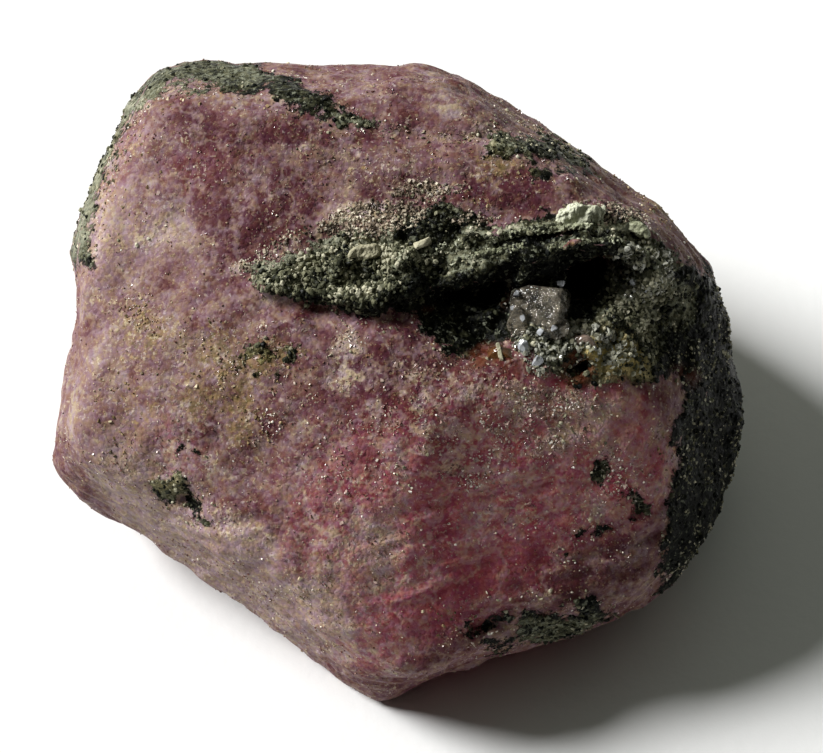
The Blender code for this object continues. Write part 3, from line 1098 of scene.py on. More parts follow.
@dataclass(frozen=True)
class RubyFinish:
    """Worn corundum, pink to wine, with chalk, stains and the dark rock painted in where the marks say, and
    with painted light: lit copies of its tones and a faint red emission.
    """

    # Colours from pale to deep wine, and brighter copies of them that paint light on where the painted-light
    # mark says
    tones: tuple[Colour, ...] = (
        (0.300, 0.232, 0.198),
        (0.218, 0.141, 0.130),
        (0.162, 0.083, 0.081),
        (0.118, 0.045, 0.049),
        (0.074, 0.021, 0.027),
    )
    painted_lit_tones: tuple[Colour, ...] = (
        (0.47, 0.355, 0.308),
        (0.385, 0.208, 0.205),
        (0.320, 0.126, 0.138),
        (0.272, 0.080, 0.097),
        (0.215, 0.046, 0.062),
    )
    # Colour of the painted red glow, an emission that stands in for light through the crystal
    painted_red_glow: Colour = (0.020, 0.0013, 0.0038)
    tone_steps: tuple[float, ...] = (0.0, 0.25, 0.48, 0.74, 1.0)
    haze: Colour = (0.360, 0.258, 0.238)
    cool: Colour = (0.94, 0.90, 1.12)
    warm: Colour = (1.08, 1.08, 0.84)
    olive: Colour = (0.105, 0.082, 0.034)
    khaki_stain: Colour = (1.5, 1.15, 0.55)
    cream: Colour = (0.60, 0.52, 0.42)
    plaster: Colour = (0.52, 0.42, 0.34)
    tan: Colour = (0.34, 0.25, 0.15)
    ochre: Colour = (0.20, 0.122, 0.066)
    gold: Colour = (0.35, 0.240, 0.130)
    rust: Colour = (0.088, 0.022, 0.009)
    soot: Colour = (0.075, 0.045, 0.028)
    # Colour of the rock's pale crumbs, bright enough to also paint their glints
    crumb_glint: Colour = (0.20, 0.21, 0.15)
    ior: float = 1.76
    specular: float = 0.035
    sugar: float = 0.14
    speck_shift: Triple = (1.0, 1.7, 0.6)
    speck_stretch: float = 2.2
    speck_gain: float = 0.34
    speck_edge: Point = (0.66, 0.78)
    rock_grain: float = 0.17
    rock_tones: tuple[tuple[float, Colour], ...] = (
        (0.0, (0.001, 0.0012, 0.0007)),
        (0.25, (0.003, 0.0034, 0.0017)),
        (0.50, (0.046, 0.046, 0.024)),
        (0.75, (0.16, 0.158, 0.098)),
        (1.0, (0.40, 0.385, 0.28)),
    )

    def rock(self, r: Recipe) -> tuple[Wire, Wire, Wire]:
        """Makes the dark rock's part of the finish.

        Args:
            r: The material's recipe.

        Returns:
            The rock's colour, roughness and height in millimetres.
        """
        khaki = r.attribute("khaki")
        fine = r.noise(0.14, 4, 0.65)
        cell = r.red(r.cells(self.rock_grain, "Color"))
        dome = r.cells(self.rock_grain, "Distance")
        clot = r.noise(0.55, 4, 0.65, r.shifted((2.0, 8.0, 5.0)))
        sheets = r.noise(0.17, 3, 0.6, r.stretched(-9, (0.12, 1.0, 1.0)))
        layering = (sheets - 0.5) * r.attribute("striae") * 2.2
        tone = cell * 0.2 + (fine - 0.5) * 1.2 + (clot - 0.5) * 1.0 + khaki * 0.6 + layering + 0.065
        colour = r.ramp(tone, self.rock_tones)
        # Pale crumbs in the rock: partly grey-green grains, partly painted glints
        crumbs = self.specks(r, 0.06, khaki * 0.4 + 0.27, 13.0)
        colour = r.mix(crumbs * 0.75, colour, self.crumb_glint)
        colour = r.mix(r.attribute("ochre") * 0.7, colour, r.mix(1.0, colour, self.khaki_stain, "MULTIPLY"))
        colour = r.mix(r.attribute("rust") * 0.8, colour, self.rust)
        return colour, cell * 0.3 + 0.24, (1 - dome) * 0.04 + fine * 0.05 + crumbs * 0.02

    def crumb_colour(self, r: Recipe, tint: Wire) -> Wire:
        """Returns the colour of crumbs of pale grains, from tan to cream."""
        return r.mix(r.step(tint, 0.35, 0.65), self.tan, self.cream)

    def specks(self, r: Recipe, size: float, coverage: Wire | float, seed: float) -> Wire:
        """Makes ragged specks.

        Args:
            r: The material's recipe.
            size: Size of the specks in millimetres.
            coverage: About the share of the surface that they cover.
            seed: Shifts the pattern.

        Returns:
            1 on a speck and 0 elsewhere.
        """
        place = r.shifted(tuple(seed * share for share in self.speck_shift))
        pattern = r.noise(size * self.speck_stretch, 2, 0.6, place)
        return r.step(pattern + r.math("MINIMUM", coverage, 1.0) * self.speck_gain, *self.speck_edge)

    def stained(self, r: Recipe, p: RubyPatterns, colour: Wire) -> Wire:
        """Adds ochre and rust, soaked in and as grains.

        Args:
            r: The material's recipe.
            p: The shared patterns.
            colour: The ruby's colour so far.

        Returns:
            The stained colour.
        """
        ochre = r.attribute("ochre")
        uneven = (p.fine - 0.5) * 1.3 + (p.tint - 0.5) * 1.0 + (p.cloud - 0.5) * 2.0
        stain = r.step(ochre + uneven, 0.3, 1.3)
        soaked = r.step(ochre + (p.cloud - 0.5) * 1.6, 0.0, 1.2)
        small = self.specks(r, 0.07, soaked + 0.08, 3.0)
        large = self.specks(r, 0.14, soaked * 0.8, 23.0)
        colour = r.mix(stain * 0.3, colour, self.ochre)
        colour = r.mix(r.larger(small, large) * 0.65, colour, r.mix(p.tint, self.ochre, self.gold))
        colour = r.mix(self.specks(r, 0.09, soaked * 0.75, 31.0) * 0.6, colour, self.olive)
        rust = r.step(r.attribute("rust") + (p.fine - 0.5) * 0.9 + (p.mottle - 0.5) * 0.8, 0.2, 0.9)
        return r.mix(rust * 0.8, colour, self.rust)

    def crumbled(self, r: Recipe, p: RubyPatterns, colour: Wire, pale: Wire) -> tuple[Wire, Wire]:
        """Adds chalk, whose specks crowd together in its patches and lie single everywhere else.

        Args:
            r: The material's recipe.
            p: The shared patterns.
            colour: The ruby's colour so far.
            pale: The colour of its haze.

        Returns:
            The colour with its pale crumbs, and where the crumbs are.
        """
        chalk = r.step(r.attribute("chalk") + (p.mottle - 0.5) * 0.9 + (p.fine - 0.5) * 0.5, -0.22, 0.22)
        crumbly = r.attribute("crumbly")
        dust = r.attribute("dust")
        cover = chalk * 0.2 + crumbly * 0.16 + dust * 0.15 + p.haze * 0.12 + (p.cloud - 0.5) * 0.6
        coarse = self.specks(r, 0.10, chalk * 0.5 + cover * 0.3 - 0.16, 7.0)
        small = self.specks(r, 0.05, cover + 0.12, 11.0)
        crumbs = r.larger(coarse * 0.55, small * 0.5)
        colour = r.mix(chalk * p.fine * 0.5, colour, pale)
        clumps = self.specks(r, 0.17, crumbly * 0.6 + chalk * 0.4, 41.0)
        colour = r.mix(clumps * 0.5, colour, self.plaster)
        return r.mix(crumbs, colour, self.crumb_colour(r, p.cloud)), crumbs

    def paint_red_glow(self, r: Recipe, strength: Wire) -> None:
        """Paints a faint red glow, an emission that stands in for light that has come through the crystal, in
        its deep, clean parts.

        Args:
            r: The material's recipe.
            strength: How strong the painted glow is.
        """
        inner = r.mix(strength, (0.0, 0.0, 0.0), self.painted_red_glow)
        r.feed(r.shader, {"Emission Color": inner, "Emission Strength": 1.0})
        r.material.cycles.emission_sampling = "NONE"

    def material(self) -> bpy.types.Material:
        """Builds the node tree.

        Returns:
            The material.
        """
        r = Recipe("ruby_with_rock")
        p = RubyPatterns.of(r, self.sugar)
        uneven = (p.mottle - 0.5) * 2.0 + (r.noise(2.4, 3) - 0.5) * 1.0 + (p.fine - 0.5) * 0.5
        depth = p.wine * 0.62 + uneven + (p.tint - 0.5) * 0.32 + 0.52
        dull = r.ramp(depth, tuple(zip(self.tone_steps, self.tones)))
        # Painted light: the lit copy of the ruby's colour is mixed in where the painted-light mark is on
        painted_lit = r.ramp(depth, tuple(zip(self.tone_steps, self.painted_lit_tones)))
        colour = r.mix(p.glow, dull, painted_lit)

        # Pale haze and thin veins along old cracks
        vein = r.step(abs(r.noise(1.7, 4, 0.62) - 0.5), 0.045, 0.0)
        thread = r.step(abs(r.noise(0.7, 3, 0.6, r.shifted((3.0, 5.0, 9.0))) - 0.5), 0.035, 0.0)
        veil = r.step(p.haze * 0.9 + (p.cloud - 0.5) * 1.7 + (p.fine - 0.5) * 0.9, 0.25, 1.0)
        # Where light is painted on, the haze takes the palest painted lit tone
        pale = r.mix(p.glow, self.haze, self.painted_lit_tones[0])
        lines = r.larger(vein * 0.4, thread * (p.haze * 0.3 + 0.1))
        colour = r.mix(r.larger(lines, veil * 0.6), colour, pale)

        colour = self.stained(r, p, colour)
        colour, crumbs = self.crumbled(r, p, colour, pale)
        dark = self.specks(r, 0.10, p.wine * 0.25 + 0.03, 17.0)
        colour = r.mix(dark * 0.35, colour, self.soot)

        # Grains scatter light a little cooler or warmer than each other
        scatter = r.noise(0.22, 3, 0.6, r.shifted((9.0, 2.0, 7.0)))
        cast = r.ramp(scatter, ((0.38, self.cool), (0.62, self.warm)))
        colour = r.mix(1.0, colour, cast, "MULTIPLY")

        rock_colour, rock_roughness, rock_height = self.rock(r)
        edge = r.attribute("amphibole") + (p.mottle - 0.5) * 0.6 + (p.fine - 0.5) * 0.75
        rock = r.step(edge, -0.05, 0.06)
        colour = r.mix(rock, colour, rock_colour)
        # Painted red glow: a faint emission in the deep, clean ruby where light is painted on
        clean = r.step(depth, 0.15, 0.8) * (1 - rock) * (1 - r.larger(crumbs, veil * 0.7))
        self.paint_red_glow(r, clean * p.glow)

        # Striations run along the lower edges
        grooves = r.noise(0.16, 2, 0.5, r.stretched(-12, (0.12, 1.0, 1.0)))
        striae = (grooves - 0.5) * r.attribute("striae")
        height = p.mottle * 0.028 + p.fine * 0.01 + striae * 0.03 + crumbs * 0.014 - dark * 0.012
        height = r.blend_values(rock, height - p.sugar * 0.02, rock_height)
        roughness = r.blend_values(crumbs, 0.52 + (p.fine - 0.5) * 0.5, 0.62)
        roughness = r.blend_values(rock, roughness, rock_roughness)
        normal = r.facets(r.bump(height), self.sugar, r.blend_values(rock, 0.12, 0.5))
        r.feed(r.shader, {"Specular IOR Level": self.specular})
        return r.finish(colour, roughness, normal, self.ior)


@dataclass(frozen=True)
class GrainFinish:
    """Loose mineral grains, each with its own tone from the mesh."""

    name: str
    stops: tuple[tuple[float, Colour], ...]
    roughness: float
    ior: float
    mottle: float = 0.3
    specular: float = 0.2

    def material(self) -> bpy.types.Material:
        """Builds the node tree.

        Returns:
            The material.
        """
        r = Recipe(self.name)
        fine = r.noise(0.06, 3, 0.6)
        cloud = r.noise(0.4, 3)
        tone = r.attribute("tone") + (fine - 0.5) * self.mottle + (cloud - 0.5) * self.mottle * 0.6
        colour = r.ramp(tone, self.stops)
        roughness = r.step(tone, 0.0, 1.0) * 0.2 + (fine - 0.5) * 0.3 + self.roughness
        r.feed(r.shader, {"Specular IOR Level": self.specular})
        return r.finish(colour, roughness, r.bump(fine * 0.015), self.ior)


@dataclass(frozen=True)
class ClearFinish:
    """A see-through grain: plain transmission, refraction and absorption, with a lightly frosted skin."""

    name: str
    colour: Colour
    transmission: float
    ior: float
    absorbed: Colour
    density: float
    dimmest: float = 0.25
    relief: float = 0.05
    sparkle: float = 0.0

    def material(self) -> bpy.types.Material:
        """Builds the node tree.

        Returns:
            The material.
        """
        r = Recipe(self.name)
        cloud = r.noise(0.6, 5, 0.7)
        dim = tuple(c * self.dimmest for c in self.colour)
        colour = r.mix(r.step(cloud, 0.38, 0.62), dim, self.colour)
        normal = r.facets(r.bump(cloud * self.relief), 0.16, self.sparkle)
        values = {"Color": (*self.absorbed, 1.0), "Density": self.density}
        r.feed(r.tree.nodes["Material Output"], {"Volume": r.node("VolumeAbsorption", None, values)})
        r.feed(r.shader, {"Transmission Weight": self.transmission})
        return r.finish(colour, r.noise(0.2, 3) * 0.3 - 0.05, normal, self.ior)


AMPHIBOLE_FINISH = GrainFinish("amphibole_grains", (
    (0.0, (0.003, 0.004, 0.003)),
    (0.3, (0.014, 0.015, 0.009)),
    (0.55, (0.055, 0.057, 0.032)),
    (0.8, (0.19, 0.187, 0.115)),
    (1.0, (0.46, 0.44, 0.32)),
), 0.38, 1.64, 0.3, 0.06)
FELDSPAR_FINISH = GrainFinish("feldspar_grains", (
    (0.0, (0.08, 0.075, 0.045)),
    (0.35, (0.22, 0.205, 0.125)),
    (0.7, (0.45, 0.42, 0.29)),
    (1.0, (0.70, 0.66, 0.53)),
), 0.45, 1.53, 0.5)
DUST_FINISH = GrainFinish("ruby_crumbs", (
    (0.0, (0.12, 0.035, 0.03)),
    (0.35, (0.24, 0.13, 0.10)),
    (0.7, (0.42, 0.31, 0.20)),
    (1.0, (0.72, 0.64, 0.50)),
), 0.12, 1.7, 0.3, 0.5)
CREAM_FINISH = GrainFinish("cream_crust", (
    (0.0, (0.055, 0.040, 0.028)),
    (0.4, (0.25, 0.195, 0.140)),
    (0.75, (0.44, 0.37, 0.275)),
    (1.0, (0.66, 0.60, 0.46)),
), 0.35, 1.55, 0.5, 0.2)
OCHRE_FINISH = GrainFinish("ochre_crumbs", (
    (0.0, (0.095, 0.070, 0.030)),
    (0.4, (0.21, 0.140, 0.065)),
    (0.75, (0.40, 0.290, 0.140)),
    (1.0, (0.68, 0.58, 0.38)),
), 0.3, 1.6, 0.4, 0.3)
PALE_CRUMBS = GrainFinish("pale_crumbs", (
    (0.0, (0.22, 0.11, 0.095)),
    (0.4, (0.36, 0.25, 0.21)),
    (0.75, (0.56, 0.47, 0.38)),
    (1.0, (0.80, 0.76, 0.68)),
), 0.15, 1.6, 0.4, 0.5)

PALE_GREEN = GrainFinish("pale_green_feldspar", (
    (0.0, (0.10, 0.105, 0.06)),
    (0.5, (0.30, 0.31, 0.20)),
    (1.0, (0.64, 0.65, 0.50)),
), 0.5, 1.53, 1.4)


@dataclass(frozen=True)
class GlassGrainFinish:
    """Loose see-through splinters with clean, bright faces."""

    name: str
    clear: Colour
    smoky: Colour
    transmission: float
    ior: float

    def material(self) -> bpy.types.Material:
        """Builds the node tree.

        Returns:
            The material.
        """
        r = Recipe(self.name)
        colour = r.mix(r.attribute("tone"), self.smoky, self.clear)
        r.feed(r.shader, {"Transmission Weight": self.transmission})
        return r.finish(colour, r.noise(0.3) * 0.2 - 0.03, r.bump(r.noise(0.15) * 0.01), self.ior)


GLASS_GRAINS = GlassGrainFinish("glassy_splinters", (0.86, 0.86, 0.74), (0.30, 0.29, 0.19), 0.55, 1.6)


@dataclass
class RubyBody:
    """The crystal itself: one closed surface, with the reliefs and the marks of its minerals."""

    weld: float = 0.001
    subdivisions: int = 2
    first_step: float = 0.13
    first_passes: int = 3
    last_step: float = 0.12
    last_passes: int = 1
    smooth_factor: float = 0.5
    weight_steps: int = 200
    least_facing: float = 0.2
    least_rough: float = 0.18
    right_start: float = 6.0
    right_end: float = 7.6
    right_rough: float = 0.45
    groove_depth: float = 0.11
    growth_step_depth: float = 0.09
    body: bpy.types.Object | None = None

    def build(self) -> bpy.types.Object:
        """Models the body from the CAD solid.

        Returns:
            The body, still in crystal millimetres.
        """
        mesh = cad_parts[CAD_NODE].data.copy()
        mesh.materials.clear()
        mesh.transform(table_from_crystal().inverted())
        self.body = new_object("ruby_body", mesh)
        take(self.body)
        bpy.ops.object.mode_set(mode="EDIT")
        bpy.ops.mesh.select_all(action="SELECT")
        bpy.ops.mesh.remove_doubles(threshold=self.weld)
        bpy.ops.object.mode_set(mode="OBJECT")
        levels = self.subdivisions
        modify(self.body, "rounded", "SUBSURF", levels=levels, render_levels=levels)
        self.remesh(self.first_step, self.first_passes)
        self.carve()
        self.remesh(self.last_step, self.last_passes)
        self.roughen()
        self.striate()
        self.settle()
        self.mark()
        return self.body

    def remesh(self, step: float, passes: int) -> None:
        """Rebuilds the surface in even steps.

        Args:
            step: Size of a face in millimetres.
            passes: How often the new surface is smoothed.
        """
        modify(self.body, "even", "REMESH", mode="VOXEL", voxel_size=step)
        modify(self.body, "soft", "SMOOTH", factor=self.smooth_factor, iterations=passes)

    def site(self) -> Site:
        """Returns where the body's points are."""
        mesh = self.body.data
        return Site.of(read_array(mesh.vertices, "co", 3), read_array(mesh.vertex_normals, "vector", 3))

    def displace(
        self,
        name: str,
        weights: np.ndarray,
        height: float,
        texture: bpy.types.Texture | None = None,
        relief: Relief = Relief.FROM_SURFACE,
    ) -> None:
        """Moves the surface in or out where the weights say.

        Args:
            name: Name of the relief.
            weights: A weight from 0 to 1 for every vertex.
            height: Millimetres outwards at full weight.
            texture: A pattern that the height follows, or none.
            relief: The direction of the move.
        """
        group = self.body.vertex_groups.new(name=name)
        levels = np.rint(np.clip(weights, 0, 1) * self.weight_steps).astype(int)
        for level in np.unique(levels[levels > 0]):
            group.add(np.flatnonzero(levels == level).tolist(), level / self.weight_steps, "REPLACE")
        modify(
            self.body,
            name,
            "DISPLACE",
            vertex_group=name,
            strength=height,
            direction=relief.value,
            mid_level=0.5 if texture else 0.0,
            texture=texture,
            texture_coords="LOCAL",
        )
        self.body.vertex_groups.remove(self.body.vertex_groups[name])

    def carve(self) -> None:
        """Raises and sinks the large features of the upper side."""
        shift = self.site().warp()
        for carving in CARVINGS:
            site = self.site()
            depth = carving.mark.depth(site.plan + shift)
            weights = smooth_step(depth, 0.0, carving.slope)
            weights *= smooth_step(site.facing, 0.0, self.least_facing)
            self.displace(carving.name, weights, carving.height, relief=Relief.FROM_ABOVE)

    def roughen(self) -> None:
        """Gives the ruby its chips and dents, and the rock its broken grains."""
        site = self.site()
        site.plan += site.warp()
        rock = smooth_step(self.rock_depth(site), -0.05, 0.25)
        broken = smooth_step(BAND.depth(site.plan), 0.0, 0.5) * site.seen()
        inland = smooth_step(-site.places[:, 0], -self.right_end, -self.right_start)
        broken *= self.right_rough + (1 - self.right_rough) * inland
        rough = rock * np.maximum(broken, self.least_rough)
        edges = {"distance_metric": "DISTANCE", "weight_1": -1.0, "weight_2": 1.0}
        patterns = (
            ("chips", "VORONOI", 1.3, edges, 1 - rock, 0.12),
            ("dents", "CLOUDS", 1.0, {"noise_depth": 1}, np.ones(len(rock)), 0.20),
            ("blocks", "VORONOI", 0.8, {"weight_1": 1.0}, rough, -0.36),
            ("lumps", "VORONOI", 0.36, {"weight_1": 1.0}, rough, -0.22),
            ("crumble", "CLOUDS", 0.24, {"noise_depth": 2}, 0.2 + 0.5 * rough + 0.3 * rock, 0.11),
        )
        for name, kind, size, settings, weights, height in patterns:
            self.displace(name, weights, height, relief_pattern(name, kind, size, **settings))

    def striate(self) -> None:
        """Cuts the growth lines that run along the lower edges, and the growth steps round the barrel."""
        site = self.site()
        across = site.places[:, 1] - 0.16 * site.places[:, 0] + 0.25 * site.places[:, 2]
        bent = across + ripple(site.places, 2.5, 1.0) * 0.25
        level = np.zeros(len(bent))
        line = np.column_stack([bent, site.places[:, 0] * 0.08, level])
        grooves = ripple(line, 0.34, 2.0) * 0.5 + 0.5
        weights = np.clip(site.blend(STRIAE, 0.8), 0, 1) * np.clip(grooves, 0, 1)
        self.displace("striae", weights, -self.groove_depth)

        bent = site.places[:, 2] + ripple(site.places, 3.0, 61.0) * 0.2
        line = np.column_stack([bent, level, level])
        steps = 0.5 + ripple(line, 0.4, 8.0) + 0.6 * ripple(line, 0.24, 9.0)
        steps += 0.4 * ripple(site.places, 1.6, 63.0)
        side = smooth_step(-np.abs(site.normals[:, 2]), -0.85, -0.3)
        side *= 1 - smooth_step(self.rock_depth(site), -0.1, 0.1)
        self.displace("growth_lines", side * np.clip(steps, 0, 1), -self.growth_step_depth)

    def settle(self) -> None:
        """Lays what has sunk through the table back on it."""
        mesh = self.body.data
        places = read_array(mesh.vertices, "co", 3)
        up = np.array([0.0, math.sin(LEAN), math.cos(LEAN)])
        lift = np.clip(-height_above_table(places), 0, None)
        mesh.vertices.foreach_set("co", (places + lift[:, None] * up).ravel())
        mesh.update()

    @staticmethod
    def rock_depth(site: Site) -> np.ndarray:
        """Measures how far inside the dark rock each point is, with ragged edges on the sides.

        Args:
            site: The points, with their warped or plain plan.

        Returns:
            Millimetres inside, negative outside.
        """
        hidden = 1 - site.seen()
        ragged = sum(ripple(site.places, size, seed) * height for size, height, seed in RAGGED_RIPPLES)
        size, height, seed = EDGE_RIPPLE
        ragged = hidden * ragged + ripple(site.places, size, seed) * height
        inside = site.union(AMPHIBOLE, SIDE_AMPHIBOLE, 1.0)
        return np.where(inside > 0, inside * (1 - SIDE_THINNING * hidden), inside) + ragged

    def mark(self) -> None:
        """Stores where each mineral and stain is, and where light is painted, for the finish and for the
        grains.
        """
        site = self.site()
        site.plan += site.warp()
        swirl = ripple(site.places, 3.2, 21.0)
        drift = ripple(site.places, 1.2, 31.0)
        hidden = 1 - site.seen()
        cloudy = hidden * np.clip(drift, 0, 1)
        haze = site.blend(HAZE, 0.8) + cloudy * 0.5
        stained = hidden * np.clip(swirl * drift * 2, 0, 1)
        stored = {
            "amphibole": self.rock_depth(site),
            "chalk": site.union(CHALK, SIDE_CHALK, 0.6) + drift * 0.06,
            "khaki": site.blend(KHAKI, 0.25) + hidden * np.clip(0.2 + 0.25 * swirl + 0.5 * drift, 0, 0.7),
            "haze": haze,
            "wine": site.blend(WINE, 0.5) + hidden * swirl * 0.5,
            # Painted light: where the lit tones and the red emission are used
            "glow": site.blend(PAINTED_LIGHT_MARKS, 2.0) + 0.5 * smooth_step(SIDE_PAINTED_LIGHT.depth(site.places), 0.0, 1.2),
            "crumbly": site.blend(CRUMBLY, 0.4) + cloudy * 0.3,
            "ochre": site.blend(OCHRE, 0.9) * (1 + 0.5 * drift) + stained * 0.5,
            "rust": np.clip(site.blend(RUST, 0.15), 0, 1),
            "striae": np.clip(site.blend(STRIAE, 0.8), 0, 1),
            "dust": np.clip(0.5 + 0.5 * drift + haze * 0.4, 0, 1),
        }
        for name, values in stored.items():
            store(self.body.data, name, values)


@dataclass
class Ground:
    """The body's faces, as the ground that grains are strewn on."""

    corners: np.ndarray
    normals: np.ndarray
    areas: np.ndarray
    site: Site
    fields: dict[str, np.ndarray]

    @classmethod
    def of(cls, body: bpy.types.Object) -> "Ground":
        """Reads the body.

        Args:
            body: The body, in crystal millimetres, all of triangles or quads.

        Returns:
            Its triangles with the mineral marks at their middles.
        """
        mesh = body.data
        mesh.calc_loop_triangles()
        indices = read_array(mesh.loop_triangles, "vertices", 3).astype(int)
        places = read_array(mesh.vertices, "co", 3)
        corners = places[indices]
        cross = np.cross(corners[:, 1] - corners[:, 0], corners[:, 2] - corners[:, 0])
        areas = np.linalg.norm(cross, axis=1) / 2
        vertex_normals = read_array(mesh.vertex_normals, "vector", 3)
        normals = vertex_normals[indices].mean(axis=1)
        normals /= np.linalg.norm(normals, axis=1)[:, None]
        fields = {}
        for name in ("amphibole", "chalk", "khaki", "crumbly", "ochre", "dust"):
            values = read_array(mesh.attributes[name].data, "value", 1)
            fields[name] = values[indices].mean(axis=1)
        return cls(corners, normals, areas, Site.of(corners.mean(axis=1), normals), fields)

    def within(self, marks: tuple[Mark, ...], slope: float) -> np.ndarray:
        """Returns 1 on faces inside any of the marks of the upper side, fading over the slope."""
        return smooth_step(self.site.union(marks, (), 1.0), -slope, slope)


class GrainShape(Enum):
    """Kinds of grain: how a rounded stone is squeezed along its three axes before it is chipped."""

    CHUNK = (1.0, 0.85, 0.7)
    BLADE = (1.6, 0.6, 0.42)
    FLAKE = (1.2, 1.0, 0.32)
    SPECK = (0.8, 0.7, 0.6)


class GrainBox:
    """Models the few grains that are then strewn in their hundreds."""

    chips: int = 3
    speck_chips: int = 2
    variants: int = 4
    reach: float = 0.62
    weld: float = 0.08

    def __init__(self) -> None:
        """Models every variant of every kind of grain."""
        self.meshes = {
            shape: [self.chip(shape, 100 * index + number) for number in range(self.variants)]
            for index, shape in enumerate(GrainShape)
        }

    def chip(self, shape: GrainShape, seed: int) -> Grain:
        """Breaks one grain out of a small ball, or a speck out of a small block.

        Args:
            shape: The kind of grain.
            seed: Says which planes it is broken along.

        Returns:
            Its points, within a radius of about 1, and its triangles.
        """
        random = np.random.default_rng(seed)
        chips = self.chips
        if shape is GrainShape.SPECK:
            bpy.ops.mesh.primitive_cube_add(size=2.0)
            chips = self.speck_chips
        else:
            bpy.ops.mesh.primitive_ico_sphere_add(subdivisions=1, radius=1.0)
        grain = bpy.context.object
        bpy.ops.object.mode_set(mode="EDIT")
        bpy.ops.transform.resize(value=shape.value)
        for _ in range(chips):
            normal = random.normal(size=3)
            normal /= np.linalg.norm(normal)
            cleave(normal, self.reach * np.linalg.norm(normal * np.array(shape.value)))
        bpy.ops.mesh.select_all(action="SELECT")
        bpy.ops.mesh.remove_doubles(threshold=self.weld)
        bpy.ops.mesh.quads_convert_to_tris()
        bpy.ops.mesh.normals_make_consistent(inside=False)
        bpy.ops.object.mode_set(mode="OBJECT")
        points = read_array(grain.data.vertices, "co", 3)
        grain.data.calc_loop_triangles()
        triangles = read_array(grain.data.loop_triangles, "vertices", 3).astype(int)
        bpy.data.objects.remove(grain)
        return points, triangles


@dataclass
class GrainBed:
    """Grains of one mineral strewn over part of the crystal and joined in one mesh."""

    name: str
    slot: str
    finish: GrainFinish | GlassGrainFinish
    count: int
    smallest: float
    largest: float
    sink: float
    tones: tuple[float, float]
    shapes: tuple[GrainShape, ...]
    seed: int
    khaki: float = 0.0
    clumping: float = 0.16
    rarity: float = 1.0
    size_bias: float = 2.2
    khaki_range: tuple[float, float] = (0.3, 1.0)
    clump_size: float = 0.6
    clump_seed: float = 71.0
    clearance: float = 1.7

    def build(self, ground: Ground, weights: np.ndarray, box: GrainBox) -> bpy.types.Object:
        """Strews the grains.

        Args:
            ground: The body's faces.
            weights: How likely a grain is on each face, for its area.
            box: The grains to copy.

        Returns:
            One mesh of all the grains, in crystal millimetres.
        """
        random = np.random.default_rng(self.seed)
        chance = weights * ground.areas
        faces = random.choice(len(chance), self.count, p=chance / chance.sum())
        u, v = random.random((2, self.count))
        fold = u + v > 1
        u, v = np.where(fold, 1 - u, u), np.where(fold, 1 - v, v)
        first, second, third = np.moveaxis(ground.corners[faces], 1, 0)
        points = first + u[:, None] * (second - first) + v[:, None] * (third - first)
        spread = random.random(self.count) ** self.size_bias
        radii = (self.smallest + (self.largest - self.smallest) * spread) / 2
        points = points + ground.normals[faces] * (radii * (0.5 - self.sink) * 2)[:, None]
        tones = self.tones[0] + (self.tones[1] - self.tones[0]) * random.random(self.count) ** self.rarity
        tones += self.khaki * ground.fields["khaki"][faces] * random.uniform(*self.khaki_range, self.count)
        tones += ripple(points, self.clump_size, self.clump_seed) * self.clumping
        kinds = random.integers(len(self.shapes), size=self.count)
        variants = random.integers(box.variants, size=self.count)
        kept = height_above_table(points) > radii * self.clearance
        turns = random_turns(random, self.count)
        parts = [
            place_copies(box.meshes[shape][variant], points[pick], turns[pick], radii[pick], tones[pick])
            for index, shape in enumerate(self.shapes)
            for variant in range(box.variants)
            if (pick := np.flatnonzero(kept & (kinds == index) & (variants == variant))).size
        ]
        return join_copies(self.name, parts)


def random_turns(random: np.random.Generator, count: int) -> np.ndarray:
    """Draws random rotations.

    Args:
        random: The generator to draw from.
        count: How many.

    Returns:
        A 3 by 3 rotation matrix for each.
    """
    q = random.normal(size=(count, 4))
    w, x, y, z = (q / np.linalg.norm(q, axis=1)[:, None]).T
    rows = (
        (1 - 2 * (y * y + z * z), 2 * (x * y - z * w), 2 * (x * z + y * w)),
        (2 * (x * y + z * w), 1 - 2 * (x * x + z * z), 2 * (y * z - x * w)),
        (2 * (x * z - y * w), 2 * (y * z + x * w), 1 - 2 * (x * x + y * y)),
    )
    return np.moveaxis(np.array(rows), 2, 0)


def place_copies(
    grain: Grain, points: np.ndarray, turns: np.ndarray, radii: np.ndarray, tones: np.ndarray
) -> Copies:
    """Copies one grain to many places.

    Args:
        grain: The grain's points and triangles.
        points: The middle of each copy.
        turns: Each copy's rotation matrix.
        radii: Each copy's radius.
        tones: Each copy's tone.

    Returns:
        The points, the triangles and the tone of every point of all the copies.
    """
    shape, triangles = grain
    moved = np.einsum("nij,vj->nvi", turns, shape) * radii[:, None, None] + points[:, None, :]
    offsets = np.arange(len(points)) * len(shape)
    faces = triangles[None, :, :] + offsets[:, None, None]
    return moved.reshape(-1, 3), faces.reshape(-1, 3), np.repeat(tones, len(shape))


def join_copies(name: str, parts: list[Copies]) -> bpy.types.Object:
    """Joins copies in one mesh.

    Args:
        name: The new object's name.
        parts: Points, triangles and tones of each part.

    Returns:
        The object, linked to the scene.
    """
    starts = np.cumsum([0] + [len(part[0]) for part in parts[:-1]])
    points = np.concatenate([part[0] for part in parts])
    triangles = np.concatenate([part[1] + start for part, start in zip(parts, starts)])
    tones = np.concatenate([part[2] for part in parts])
    mesh = bpy.data.meshes.new(name)
    mesh.vertices.add(len(points))
    mesh.vertices.foreach_set("co", points.ravel())
    mesh.loops.add(triangles.size)
    mesh.loops.foreach_set("vertex_index", triangles.ravel().astype(np.int32))
    mesh.polygons.add(len(triangles))
    mesh.polygons.foreach_set("loop_start", np.arange(0, triangles.size, 3, dtype=np.int32))
    mesh.update(calc_edges=True)
    store(mesh, "tone", tones)
    return new_object(name, mesh)


